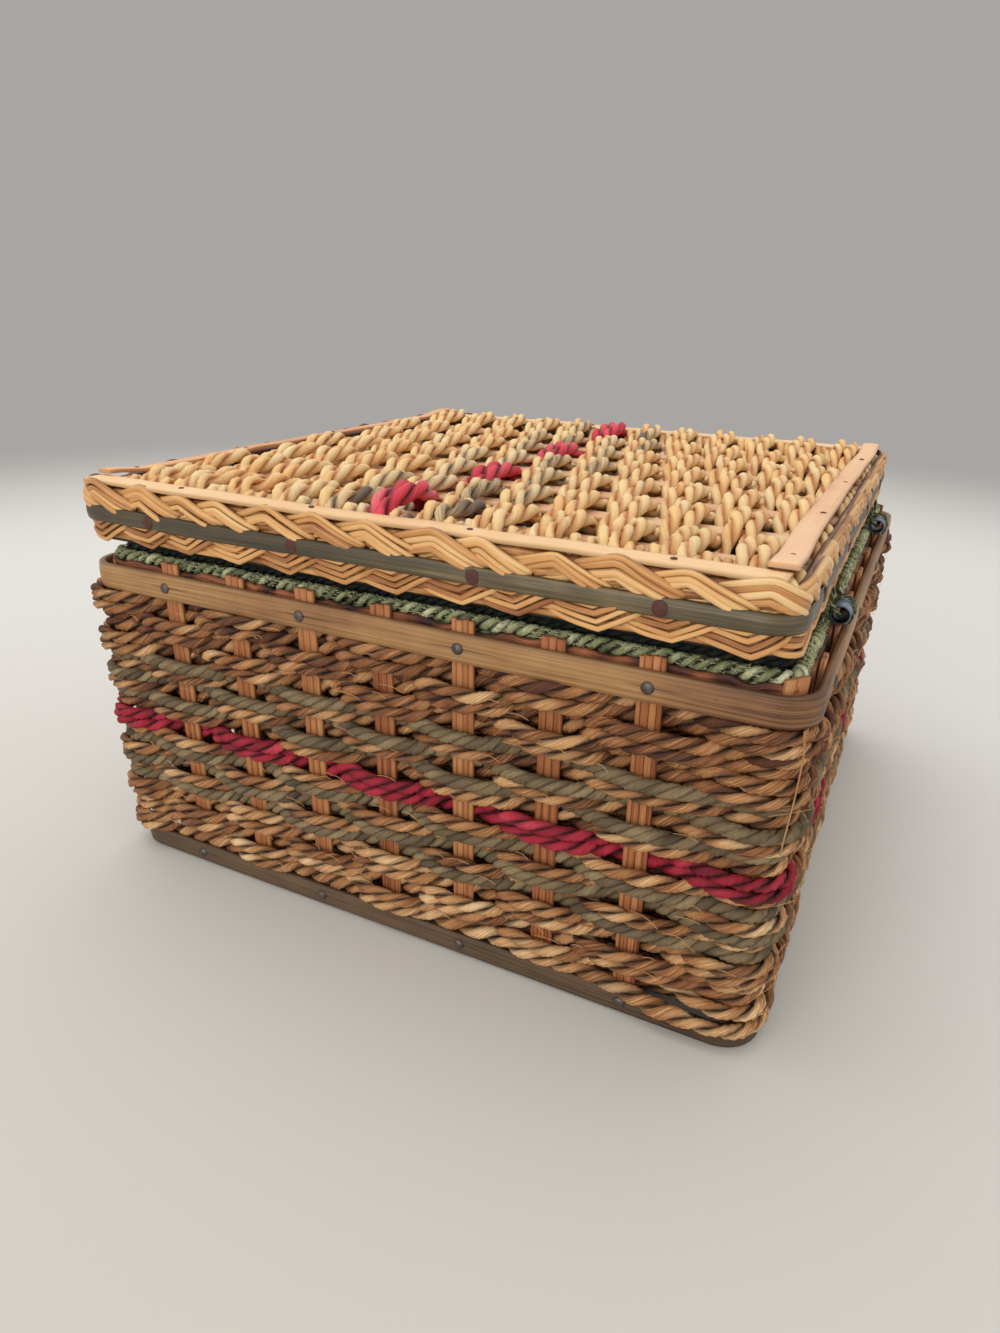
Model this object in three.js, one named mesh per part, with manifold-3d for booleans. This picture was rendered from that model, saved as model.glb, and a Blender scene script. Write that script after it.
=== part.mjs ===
// Woven lidded box: a square basket of flat splints and twisted cords, bound with laths,
// with a woven lid that turns on two lashed ring hinges along the right-hand edge.
// Millimetres, +Z up. The origin is on the floor, under the middle of the box.

import * as THREE from 'three';
import Module from 'manifold-3d';
import { mergeVertices } from 'three/addons/utils/BufferGeometryUtils.js';

const wasm = await Module();
wasm.setup();

// Whole box
const rimWidth = 205.4;
const rimDepth = 208;
const rimHeight = 95;
const wallLean = 1.9;
const cornerRadius = 6;
const cornerSteps = 3;
const fitGap = 0.3;

// Laths that bind the box
const lathThickness = 2;
const rimLathHeight = 7.6;
const baseLathHeight = 6.5;
const innerLathThickness = 1.4;
const innerLathRise = 1.4;

// Upright splints
const stakeWidth = 6;
const stakeThickness = 1.2;
const stakeStub = 3;
const hingeStakeStub = 1.5;
const stakeBendRadius = 2.4;
const stakeBendSteps = 3;
const frontStakeCount = 7;
const frontStakeLeftMargin = 31.2;
const frontStakeRightMargin = 35.3;
const sideStakeCount = 7;
const sideStakeMargin = 24.5;
const floorClearance = 0.4;
const cornerPostInset = 3.5;

// Cord rows of the wall, counted from the floor
const rowCount = 13;
const rowThickness = 3.2;
const redRow = 6;
const oliveRows = [3, 4, 5, 7, 8, 9];

// Floor
const floorThickness = 3;
const floorCornerRadius = 9;

// Collar inside the rim
const ledgeThickness = 4.2;
const ledgeRise = 6.1;
const collarThickness = 2;
const collarInnerRadius = 3;

// Lid
const lidSideSetback = 2.05;
const lidEndSetback = 0.5;
const lidHeight = 18.5;
const lidFit = 0.4;
const lidCornerRadius = 9;
const lidCornerSteps = 4;
const skirtGap = 0.4;
const lowerBraidHeight = 5.2;
const lowerBraidSetback = 0.8;
const lowerBraidThickness = 2.1;
const stripHeight = 4.5;
const stripThickness = 2.9;
const upperBraidThickness = 2.9;
const skirtBandThickness = 1.2;
const lidCordThickness = 2.8;
const columnCount = 25;
const columnLeftMargin = 8.1;
const columnRightMargin = 3.2;
const columnJoin = 0.2;
const redColumn = 11;
const lidLathCount = 7;
const lidLathMargin = 24;
const lidLathWidth = 7.5;
const lidLathThickness = 1.2;
const frameLathThickness = 1.2;
const frontLathWidth = 8;
const frontLathInset = 1;
const sideLathWidth = 6.8;
const sideLathInset = 4.2;
const frameEndInset = 5;

// Hinges: a tube lashed to the rim, and a cord loop of the lid running through it
const hingeStake = 2;
const tubeRadius = 2.5;
const tubeBore = 1.3;
const tubeLength = 9;
const tubeSides = 12;
const tubeOffset = 0.15;
const loopRadius = 0.85;
const loopSides = 6;
const loopSpread = 6.5;
const loopBend = 1.6;
const loopRise = 7;
const loopSteps = 26;

// Places that follow from the sizes above
const rimLathBottom = rimHeight - rimLathHeight;
const rowPitch = (rimLathBottom - baseLathHeight - fitGap) / rowCount;
const rowHeight = rowPitch - fitGap;
const stakeInset = lathThickness + fitGap + stakeThickness / 2;
const innerLathInset = stakeInset + stakeThickness / 2 + fitGap;
const ledgeInset = innerLathInset + innerLathThickness + fitGap;
const collarInset = ledgeInset + ledgeThickness + fitGap;
const weaveClearance = (stakeThickness + rowThickness) / 2 + fitGap + wallLean * rowHeight / rimHeight;
const frontStakePitch = (rimWidth - frontStakeLeftMargin - frontStakeRightMargin) / (frontStakeCount - 1);
const frontStakeShift = (frontStakeLeftMargin - frontStakeRightMargin) / 2;
const sideStakePitch = (rimDepth - 2 * sideStakeMargin) / (sideStakeCount - 1);
const stakeTop = rimHeight + stakeStub;
const ledgeTop = rimHeight + ledgeRise;
const skirtBottom = ledgeTop + skirtGap;
const stripBottom = skirtBottom + lowerBraidHeight + fitGap;
const upperBraidBottom = stripBottom + stripHeight + fitGap;
const lidTop = skirtBottom + lidHeight;
const lidWeaveTop = lidTop - frameLathThickness - fitGap;
const boundWeaveTop = lidWeaveTop - frameLathThickness - fitGap;
const lidWeaveSwing = (lidLathThickness + lidCordThickness) / 2 + fitGap;
const lidLathLevel = lidWeaveTop - lidCordThickness / 2 - lidWeaveSwing;
const lidWeaveBottom = lidLathLevel - lidWeaveSwing - lidCordThickness / 2;
const collarTop = lidWeaveBottom - fitGap;
const lidWidth = rimWidth - 2 * lidSideSetback;
const lidDepth = rimDepth - 2 * lidEndSetback;
const lidLathPitch = (lidDepth - 2 * lidLathMargin) / (lidLathCount - 1);
const columnPitch = (lidWidth - columnLeftMargin - columnRightMargin) / columnCount;
const columnShift = (columnLeftMargin - columnRightMargin) / 2;
const skirtBandSetback = stripThickness + fitGap;

// Colours
const straw = 0xc8a06e;
const olive = 0x6e644b;
const red = 0xaa192d;
const splint = 0xaf6e41;
const rimWood = 0x967850;
const baseWood = 0x8c785a;
const darkWood = 0x643223;
const green = 0x6f8058;
const paleWood = 0xebc38c;
const pinkWood = 0xd8a078;
const greyGreen = 0x5f6a58;
const steel = 0x6a7078;

const fibreRoughness = 0.8;
const steelRoughness = 0.45;
const steelMetalness = 0.8;

function named(name, geometry, color) {
  const metal = color === steel;
  const material = new THREE.MeshStandardMaterial({
    color,
    roughness: metal ? steelRoughness : fibreRoughness,
    metalness: metal ? steelMetalness : 0,
  });
  const mesh = new THREE.Mesh(geometry, material);
  mesh.name = name;
  return mesh;
}

// Half sizes of the lath outline at a height: the walls lean out evenly from floor to rim.
function outlineHalf(height) {
  const lean = wallLean * (1 - height / rimHeight);
  return new THREE.Vector2(rimWidth / 2 - lean, rimDepth / 2 - lean);
}

// A rounded rectangle, counter-clockwise, as straight sides and quarter circles.
function roundedLoop(halfX, halfY, radius, steps) {
  const corners = [[1, -1, -0.5], [1, 1, 0], [-1, 1, 0.5], [-1, -1, 1]];
  return corners.flatMap(([sideX, sideY, quarter]) =>
    Array.from({ length: steps + 1 }, (_, step) => {
      const angle = Math.PI * (quarter + step / steps / 2);
      return new THREE.Vector2(
        sideX * (halfX - radius) + radius * Math.cos(angle),
        sideY * (halfY - radius) + radius * Math.sin(angle),
      );
    }));
}

// The loop of a lath outline at a height, moved in by an inset.
function wallLoop(height, inset) {
  const half = outlineHalf(height);
  return roundedLoop(half.x - inset, half.y - inset, cornerRadius, cornerSteps);
}

// A path moved sideways, with mitred corners; a positive distance moves it to its right.
function offsetPath(points, distance, closed) {
  const last = points.length - 1;
  return points.map((point, index) => {
    const before = points[index > 0 ? index - 1 : (closed ? last : 0)];
    const after = points[index < last ? index + 1 : (closed ? 0 : last)];
    const arriving = point.clone().sub(before).normalize();
    const leaving = after.clone().sub(point).normalize();
    const along = arriving.clone().add(leaving).normalize();
    const reference = arriving.lengthSq() > 0 ? arriving : leaving;
    const stretch = distance / along.dot(reference);
    return new THREE.Vector2(point.x + along.y * stretch, point.y - along.x * stretch);
  });
}

function prism(outline, depth) {
  return new THREE.ExtrudeGeometry(new THREE.Shape(outline), { depth, bevelEnabled: false });
}

// An upright ring between an outer and an inner loop.
function ringGeometry(outer, inner, bottom, height) {
  const shape = new THREE.Shape(outer);
  shape.holes.push(new THREE.Path(inner));
  const geometry = new THREE.ExtrudeGeometry(shape, { depth: height, bevelEnabled: false });
  return geometry.translate(0, 0, bottom);
}

// An upright band that clears the leaning stakes: one outside them takes the wall outline
// at its own top edge, and one inside them takes it at its bottom edge.
function wallBand(inset, thickness, bottom, top) {
  const level = inset < stakeInset ? top : bottom;
  const outer = wallLoop(level, inset);
  const inner = wallLoop(level, inset + thickness);
  return ringGeometry(outer, inner, bottom, top - bottom);
}

// Turns a profile drawn in the plane of a wall-to-wall section into the part frame.
function standAcrossDepth(geometry) {
  const turn = new THREE.Matrix4().makeBasis(
    new THREE.Vector3(0, 1, 0), new THREE.Vector3(0, 0, 1), new THREE.Vector3(1, 0, 0));
  return geometry.applyMatrix4(turn);
}

function standAcrossWidth(geometry) {
  const turn = new THREE.Matrix4().makeBasis(
    new THREE.Vector3(1, 0, 0), new THREE.Vector3(0, 0, 1), new THREE.Vector3(0, -1, 0));
  return geometry.applyMatrix4(turn);
}

// One leg of a stake, from its sawn top down to the end of its bend on the floor.
function stakeLeg(halfAt, floorLevel, top, side) {
  const bendStart = floorLevel + stakeBendRadius;
  const foot = halfAt(bendStart) - stakeInset;
  const bend = Array.from({ length: stakeBendSteps + 1 }, (_, step) => {
    const angle = Math.PI / 2 * step / stakeBendSteps;
    return new THREE.Vector2(
      side * (foot - stakeBendRadius * (1 - Math.cos(angle))),
      bendStart - stakeBendRadius * Math.sin(angle),
    );
  });
  return [new THREE.Vector2(side * (halfAt(top) - stakeInset), top), ...bend];
}

// A stake runs up one wall, under the floor and up the opposite wall.
function stakeGeometry(halfAt, floorLevel, nearTop, farTop) {
  const path = [
    ...stakeLeg(halfAt, floorLevel, nearTop, -1),
    ...stakeLeg(halfAt, floorLevel, farTop, 1).reverse(),
  ];
  const one = offsetPath(path, stakeThickness / 2, false);
  const other = offsetPath(path, -stakeThickness / 2, false);
  return prism([...one, ...other.reverse()], stakeWidth).translate(0, 0, -stakeWidth / 2);
}

function frontStakeX(index) {
  return frontStakeShift + (index - (frontStakeCount - 1) / 2) * frontStakePitch;
}

function sideStakeY(index) {
  return (index - (sideStakeCount - 1) / 2) * sideStakePitch;
}

const lowFloorLevel = floorClearance + stakeThickness / 2;
const highFloorLevel = lowFloorLevel + stakeThickness + fitGap;
const floorBottom = highFloorLevel + stakeThickness / 2 + fitGap;

function frontStakes() {
  return Array.from({ length: frontStakeCount }, (_, index) => {
    const halfAt = (height) => outlineHalf(height).y;
    const geometry = standAcrossDepth(stakeGeometry(halfAt, highFloorLevel, stakeTop, stakeTop));
    const mesh = named(`front_back_stake_${index + 1}`, geometry, splint);
    mesh.position.x = frontStakeX(index);
    return mesh;
  });
}

function sideStakes() {
  return Array.from({ length: sideStakeCount }, (_, index) => {
    const halfAt = (height) => outlineHalf(height).x;
    const rightTop = rimHeight + hingeStakeStub;
    const geometry = standAcrossWidth(stakeGeometry(halfAt, lowFloorLevel, stakeTop, rightTop));
    const mesh = named(`left_right_stake_${index + 1}`, geometry, splint);
    mesh.position.y = sideStakeY(index);
    return mesh;
  });
}

// Corner posts stand at the rounded corners, turned to face along the diagonal.
function cornerPlace(height, sideX, sideY) {
  const half = outlineHalf(height);
  const arcMiddle = cornerRadius * (1 - Math.SQRT1_2);
  return new THREE.Vector2(
    sideX * (half.x - arcMiddle - cornerPostInset),
    sideY * (half.y - arcMiddle - cornerPostInset),
  );
}

function cornerPost(name, sideX, sideY) {
  const height = stakeTop - floorBottom;
  const geometry = new THREE.BoxGeometry(stakeWidth, stakeThickness, height);
  const low = cornerPlace(floorBottom, sideX, sideY);
  const high = cornerPlace(stakeTop, sideX, sideY);
  const mesh = named(name, geometry, splint);
  const up = new THREE.Vector3(high.x - low.x, high.y - low.y, height).normalize();
  const outward = new THREE.Vector3(sideX, sideY, 0).normalize();
  const across = new THREE.Vector3().crossVectors(outward, up).normalize();
  const facing = new THREE.Vector3().crossVectors(up, across);
  mesh.quaternion.setFromRotationMatrix(new THREE.Matrix4().makeBasis(across, facing, up));
  mesh.position.set((low.x + high.x) / 2, (low.y + high.y) / 2, (floorBottom + stakeTop) / 2);
  return mesh;
}

function cornerPosts() {
  return [
    cornerPost('corner_post_front_left', -1, -1),
    cornerPost('corner_post_front_right', 1, -1),
    cornerPost('corner_post_back_right', 1, 1),
    cornerPost('corner_post_back_left', -1, 1),
  ];
}

// The uprights that a row meets, counter-clockwise from the front left corner.
function stationsAt(height) {
  const half = outlineHalf(height);
  const x = half.x - stakeInset;
  const y = half.y - stakeInset;
  const corner = (sideX, sideY) => ({
    place: cornerPlace(height, sideX, sideY),
    outward: new THREE.Vector2(sideX, sideY).normalize(),
    atCorner: true,
  });
  const upright = (px, py, nx, ny) => ({
    place: new THREE.Vector2(px, py),
    outward: new THREE.Vector2(nx, ny),
    atCorner: false,
  });
  const fronts = Array.from({ length: frontStakeCount }, (_, index) => frontStakeX(index));
  const sides = Array.from({ length: sideStakeCount }, (_, index) => sideStakeY(index));
  return [
    corner(-1, -1), ...fronts.map((at) => upright(at, -y, 0, -1)),
    corner(1, -1), ...sides.map((at) => upright(x, at, 1, 0)),
    corner(1, 1), ...fronts.toReversed().map((at) => upright(at, y, 0, 1)),
    corner(-1, 1), ...sides.toReversed().map((at) => upright(-x, at, -1, 0)),
  ];
}

// A row passes outside one upright and inside the next, all the way round. It swings wide
// past most uprights, and runs flat past those at and next to a corner.
function rowPath(height, row) {
  const closestPitch = Math.min(frontStakePitch, sideStakePitch);
  const swing = weaveClearance / (1 - stakeWidth / closestPitch);
  const stations = stationsAt(height);
  return stations.flatMap(({ place, outward, atCorner }, index) => {
    const outside = (index + row) % 2 === 0;
    const before = stations[(index + stations.length - 1) % stations.length];
    const after = stations[(index + 1) % stations.length];
    if (atCorner || before.atCorner || after.atCorner) {
      const along = new THREE.Vector2(-outward.y, outward.x);
      const clear = outside ? weaveClearance : -weaveClearance;
      const flat = stakeWidth / 2 + (atCorner ? rowThickness / 2 : fitGap);
      return [-flat, flat].map((at) =>
        place.clone().addScaledVector(outward, clear).addScaledVector(along, at));
    }
    return [place.clone().addScaledVector(outward, outside ? swing : -swing)];
  });
}

function rowColor(row) {
  if (row === redRow) {
    return red;
  }
  return oliveRows.includes(row) ? olive : straw;
}

function weaveRows() {
  return Array.from({ length: rowCount }, (_, row) => {
    const bottom = baseLathHeight + fitGap + row * rowPitch;
    const path = rowPath(bottom + rowHeight / 2, row);
    const outer = offsetPath(path, rowThickness / 2, true);
    const inner = offsetPath(path, -rowThickness / 2, true);
    const label = String(row + 1).padStart(2, '0');
    return named(`weave_row_${label}`, ringGeometry(outer, inner, bottom, rowHeight), rowColor(row));
  });
}

function boxLaths() {
  const innerTop = rimHeight + innerLathRise;
  return [
    named('base_lath', wallBand(0, lathThickness, 0, baseLathHeight), baseWood),
    named('rim_lath_outer', wallBand(0, lathThickness, rimLathBottom, rimHeight), rimWood),
    named('rim_lath_inner', wallBand(innerLathInset, innerLathThickness, rimLathBottom, innerTop), darkWood),
  ];
}

function floorWeave() {
  const inset = stakeInset + stakeBendRadius;
  const half = outlineHalf(0);
  const loop = roundedLoop(half.x - inset, half.y - inset, floorCornerRadius, cornerSteps);
  return named('floor_weave', prism(loop, floorThickness).translate(0, 0, floorBottom), straw);
}

const collarHalf = outlineHalf(rimLathBottom).subScalar(collarInset);

function collar() {
  const bandInner = collarHalf.clone().subScalar(collarThickness);
  const ledge = wallBand(ledgeInset, ledgeThickness, rimLathBottom, ledgeTop);
  const band = ringGeometry(
    roundedLoop(collarHalf.x, collarHalf.y, cornerRadius, cornerSteps),
    roundedLoop(bandInner.x, bandInner.y, collarInnerRadius, cornerSteps),
    rimLathBottom, collarTop - rimLathBottom);
  return [named('collar_ledge', ledge, green), named('collar_band', band, green)];
}

// The lid sits flush with the front lath, and its skirt fits round the collar at the hinge side.
const lidShiftX = collarHalf.x + lidFit + skirtBandSetback + skirtBandThickness - lidWidth / 2;
const lidShiftY = -lidEndSetback;

// Hinge line, over the right-hand stakes
const hingeX = outlineHalf(rimHeight).x - stakeInset + tubeOffset;
const hingeZ = rimHeight + hingeStakeStub + fitGap + tubeRadius;

function circleLoop(radius, sides) {
  return Array.from({ length: sides }, (_, index) => {
    const angle = 2 * Math.PI * index / sides;
    return new THREE.Vector2(radius * Math.cos(angle), radius * Math.sin(angle));
  });
}

function hingeTube(name, y) {
  const geometry = ringGeometry(
    circleLoop(tubeRadius, tubeSides), circleLoop(tubeBore, tubeSides), -tubeLength / 2, tubeLength);
  const mesh = named(name, geometry, steel);
  mesh.rotation.x = Math.PI / 2;
  mesh.position.set(hingeX, y, hingeZ);
  return mesh;
}

// The loop passes through the tube and rises at both ends to lie on the lid's lower braid.
function hingeLoop(name, y) {
  const faceX = lidShiftX + lidWidth / 2 - lowerBraidSetback + fitGap + loopRadius;
  const end = (side) => [
    new THREE.Vector3(hingeX, side * (loopSpread - loopBend), hingeZ),
    new THREE.Vector3(hingeX, side * loopSpread, hingeZ),
    new THREE.Vector3((hingeX + faceX) / 2, side * loopSpread, (hingeZ + skirtBottom) / 2 + loopRadius),
    new THREE.Vector3(faceX, side * loopSpread, skirtBottom + loopRadius),
    new THREE.Vector3(faceX, side * loopSpread, hingeZ + loopRise),
  ];
  const [nearStart, nearBend, nearMiddle, nearFoot, nearTop] = end(-1);
  const [farStart, farBend, farMiddle, farFoot, farTop] = end(1);
  const path = new THREE.CurvePath();
  path.add(new THREE.LineCurve3(nearTop, nearFoot));
  path.add(new THREE.LineCurve3(nearFoot, nearMiddle));
  path.add(new THREE.QuadraticBezierCurve3(nearMiddle, nearBend, nearStart));
  path.add(new THREE.LineCurve3(nearStart, farStart));
  path.add(new THREE.QuadraticBezierCurve3(farStart, farBend, farMiddle));
  path.add(new THREE.LineCurve3(farMiddle, farFoot));
  path.add(new THREE.LineCurve3(farFoot, farTop));
  const section = new THREE.Shape(circleLoop(loopRadius, loopSides));
  const sweep = { steps: loopSteps, extrudePath: path, bevelEnabled: false };
  const geometry = new THREE.ExtrudeGeometry(section, sweep);
  const mesh = named(name, geometry, green);
  mesh.position.y = y;
  return mesh;
}

const hingeY = (sideStakeCount - 1) / 2 * sideStakePitch - (hingeStake - 1) * sideStakePitch;

// A ring of the lid's skirt, set in from the lid outline.
function skirtRing(name, setback, thickness, bottom, top, color) {
  const loop = (inset) => roundedLoop(
    lidWidth / 2 - inset, lidDepth / 2 - inset, lidCornerRadius - inset, lidCornerSteps);
  return named(name, ringGeometry(loop(setback), loop(setback + thickness), bottom, top - bottom), color);
}

function lidSkirt() {
  return [
    skirtRing('skirt_upper_braid', 0, upperBraidThickness, upperBraidBottom, boundWeaveTop, straw),
    skirtRing('skirt_strip', 0, stripThickness, stripBottom, stripBottom + stripHeight, greyGreen),
    skirtRing('skirt_lower_braid', lowerBraidSetback, lowerBraidThickness,
      skirtBottom, skirtBottom + lowerBraidHeight, straw),
    skirtRing('skirt_inner_band', skirtBandSetback, skirtBandThickness, skirtBottom, collarTop, darkWood),
  ];
}

function toSolid(geometry) {
  const bare = geometry.clone();
  bare.deleteAttribute('normal');
  bare.deleteAttribute('uv');
  const merged = mergeVertices(bare);
  const triVerts = new Uint32Array(merged.index.array);
  const vertProperties = new Float32Array(merged.attributes.position.array);
  return new wasm.Manifold(new wasm.Mesh({ numProp: 3, vertProperties, triVerts }));
}

function toGeometry(solid) {
  const mesh = solid.getMesh();
  const geometry = new THREE.BufferGeometry();
  geometry.setAttribute('position', new THREE.BufferAttribute(mesh.vertProperties, 3));
  geometry.setIndex(new THREE.BufferAttribute(mesh.triVerts, 1));
  geometry.computeVertexNormals();
  return geometry;
}

const lidInnerX = lidWidth / 2 - upperBraidThickness - fitGap;
const lidInnerY = lidDepth / 2 - upperBraidThickness - fitGap;

function lidLathY(index) {
  return (index - (lidLathCount - 1) / 2) * lidLathPitch;
}

function lidLaths() {
  return Array.from({ length: lidLathCount }, (_, index) => {
    const geometry = new THREE.BoxGeometry(2 * lidInnerX, lidLathWidth, lidLathThickness);
    const mesh = named(`lid_lath_${index + 1}`, geometry, pinkWood);
    mesh.position.set(0, lidLathY(index), lidLathLevel);
    return mesh;
  });
}

// A column of cords runs from front to back, over one lath and under the next. Its ends are
// bound down under the front and back laths.
function lidColumn(column) {
  const endLevel = boundWeaveTop - lidCordThickness / 2;
  const endFlat = lidDepth / 2 - frontLathInset - frontLathWidth;
  const half = lidLathWidth / 2 + fitGap;
  const passes = Array.from({ length: lidLathCount }, (_, index) => {
    const level = lidLathLevel + ((column + index) % 2 === 1 ? lidWeaveSwing : -lidWeaveSwing);
    return [-half, half].map((at) => new THREE.Vector2(lidLathY(index) + at, level));
  });
  const path = [
    new THREE.Vector2(-lidDepth / 2, endLevel), new THREE.Vector2(-endFlat, endLevel),
    ...passes.flat(),
    new THREE.Vector2(endFlat, endLevel), new THREE.Vector2(lidDepth / 2, endLevel),
  ];
  const upper = path.map(({ x, y }) => new THREE.Vector2(x, y + lidCordThickness / 2));
  const lower = path.map(({ x, y }) => new THREE.Vector2(x, y - lidCordThickness / 2));
  const width = columnPitch + (column === redColumn ? -2 * fitGap : columnJoin);
  const geometry = prism([...lower, ...upper.reverse()], width);
  const middle = (column - (columnCount - 1) / 2) * columnPitch + columnShift;
  return standAcrossDepth(geometry.translate(0, 0, -width / 2)).translate(middle, 0, 0);
}

// The lid's columns are pressed together into a sheet on each side of the red one.
function lidWeave() {
  const radius = lidCornerRadius - upperBraidThickness - fitGap;
  const loop = roundedLoop(lidInnerX, lidInnerY, radius, lidCornerSteps);
  const room = toSolid(prism(loop, lidTop));
  const sheet = (first, last) => {
    let solid = toSolid(lidColumn(first));
    for (let column = first + 1; column <= last; column += 1) {
      solid = solid.add(toSolid(lidColumn(column)));
    }
    return toGeometry(solid.intersect(room));
  };
  return [
    named('lid_weave_left', sheet(0, redColumn - 1), straw),
    named('lid_weave_red_column', sheet(redColumn, redColumn), red),
    named('lid_weave_right', sheet(redColumn + 1, columnCount - 1), straw),
  ];
}

function frameLath(name, sizeX, sizeY, x, y, top, color) {
  const mesh = named(name, new THREE.BoxGeometry(sizeX, sizeY, frameLathThickness), color);
  mesh.position.set(x, y, top - frameLathThickness / 2);
  return mesh;
}

// The front and back laths bind the columns' ends, and the side laths lie over them at the corners.
function lidFrame() {
  const endX = lidWidth / 2 - frameEndInset;
  const sideX = lidWidth / 2 - sideLathInset - sideLathWidth / 2;
  const frontY = lidDepth / 2 - frontLathInset - frontLathWidth / 2;
  const tipY = frontY + frontLathWidth / 2;
  return [
    frameLath('frame_lath_front', 2 * endX, frontLathWidth, 0, -frontY, lidWeaveTop, paleWood),
    frameLath('frame_lath_back', 2 * endX, frontLathWidth, 0, frontY, lidWeaveTop, paleWood),
    frameLath('frame_lath_left', sideLathWidth, 2 * tipY, -sideX, 0, lidTop, pinkWood),
    frameLath('frame_lath_right', sideLathWidth, 2 * tipY, sideX, 0, lidTop, pinkWood),
  ];
}

function basket() {
  const group = new THREE.Group();
  group.add(...frontStakes(), ...sideStakes(), ...cornerPosts());
  group.add(...weaveRows(), ...boxLaths(), floorWeave(), ...collar());
  group.add(hingeTube('hinge_tube_front', -hingeY), hingeTube('hinge_tube_back', hingeY));
  return group;
}

function lid() {
  const group = new THREE.Group();
  const woven = new THREE.Group();
  woven.position.set(lidShiftX, lidShiftY, 0);
  woven.add(...lidSkirt(), ...lidLaths(), ...lidWeave(), ...lidFrame());
  group.add(woven, hingeLoop('hinge_loop_front', -hingeY), hingeLoop('hinge_loop_back', hingeY));
  return group;
}

const part = new THREE.Group();
part.add(basket(), lid());

export default part;
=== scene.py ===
import bpy
import numpy as np
from mathutils import Matrix, Vector


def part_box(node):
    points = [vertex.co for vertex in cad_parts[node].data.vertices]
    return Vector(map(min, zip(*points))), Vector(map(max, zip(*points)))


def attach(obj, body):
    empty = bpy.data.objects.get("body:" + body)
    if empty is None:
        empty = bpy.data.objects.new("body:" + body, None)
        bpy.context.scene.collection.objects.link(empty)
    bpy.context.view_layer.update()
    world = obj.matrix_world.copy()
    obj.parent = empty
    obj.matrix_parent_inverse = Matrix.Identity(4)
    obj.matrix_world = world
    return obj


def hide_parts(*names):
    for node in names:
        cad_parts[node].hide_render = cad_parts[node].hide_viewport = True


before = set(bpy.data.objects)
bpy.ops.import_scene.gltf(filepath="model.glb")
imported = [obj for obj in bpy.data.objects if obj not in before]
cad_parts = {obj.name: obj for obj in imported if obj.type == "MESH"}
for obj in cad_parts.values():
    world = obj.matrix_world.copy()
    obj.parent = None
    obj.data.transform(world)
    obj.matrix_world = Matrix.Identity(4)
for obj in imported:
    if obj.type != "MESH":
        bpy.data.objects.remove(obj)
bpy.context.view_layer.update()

# Measures are in millimetres here, and meshes are made in metres. A pair named DRIFT is how far something
# wanders and the length over which it does. A pair named HUMP is a height and the reach to either side.
MM = 0.001
AXES = np.eye(3)
RIGHT, BACKWARD, UP = AXES


def span(node):
    """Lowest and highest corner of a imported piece, in millimetres."""
    low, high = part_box(node)
    return np.array(low) / MM, np.array(high) / MM


def middle(node):
    """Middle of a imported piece: half way between its lowest and highest corner."""
    low, high = span(node)
    return (low + high) / 2


FOOT = span("base_lath")[1]
RIM = span("rim_lath_outer")[1]
STAKE_INSET = 2.9
CORNER_TURN = 8.05
STAKES = 7
FRONT_STAKES = [middle(f"front_back_stake_{i + 1}")[0] for i in range(STAKES)]
SIDE_STAKES = [middle(f"left_right_stake_{i + 1}")[1] for i in range(STAKES)]
LID = middle("skirt_strip")
LID_HALF = (span("skirt_strip")[1] - span("skirt_strip")[0])[:2] / 2
LID_TURN = 9.0


def wall_half(z):
    """Half width and half depth of the leaning wall at a height: a straight line from foot to rim."""
    rise = (z - FOOT[2]) / (RIM[2] - FOOT[2])
    return FOOT[:2] + (RIM[:2] - FOOT[:2]) * rise


def wander(at, drift, seed, whole=0.0):
    """A smooth random curve along a length. Its drift is how far it goes to either side, and the reach
    between its random heights, which half cosines join. Given a whole length, it closes on itself."""
    size, reach = drift
    at = at - at.min()
    count = max(3, round(whole / reach)) if whole else int(at.max() / reach) + 3
    step = whole / count if whole else reach
    heights = np.random.default_rng(seed).uniform(-1, 1, count)
    low = np.floor(at / step).astype(int)
    ease = (1 - np.cos(np.pi * (at / step - low))) / 2
    return size * (heights[low % count] * (1 - ease) + heights[(low + 1) % count] * ease)


def hump(at, centre, reach):
    """A bell curve of height 1 about a centre."""
    return np.exp(-((at - centre) / reach) ** 2)


def ease_between(at, start, end):
    """0 before start, 1 after end, and an S curve between them."""
    share = np.clip((at - start) / (end - start), 0, 1)
    return share * share * (3 - 2 * share)


def flattened(phase, flatness):
    """A cosine whose tops and bottoms are drawn out level: the tanh of it, scaled back to 1."""
    return np.tanh(flatness * np.cos(phase)) / np.tanh(flatness)


def full_turn(count):
    """Even angles once round, without the last."""
    return np.linspace(0, 2 * np.pi, count, endpoint=False)


def walked_to(points, closed=False):
    """Length walked to each point of a line and, when it is closed, on to its first point again."""
    steps = np.diff(points, axis=0, append=points[:1]) if closed else np.diff(points, axis=0)
    return np.concatenate([[0], np.cumsum(np.linalg.norm(steps, axis=1))])


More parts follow.
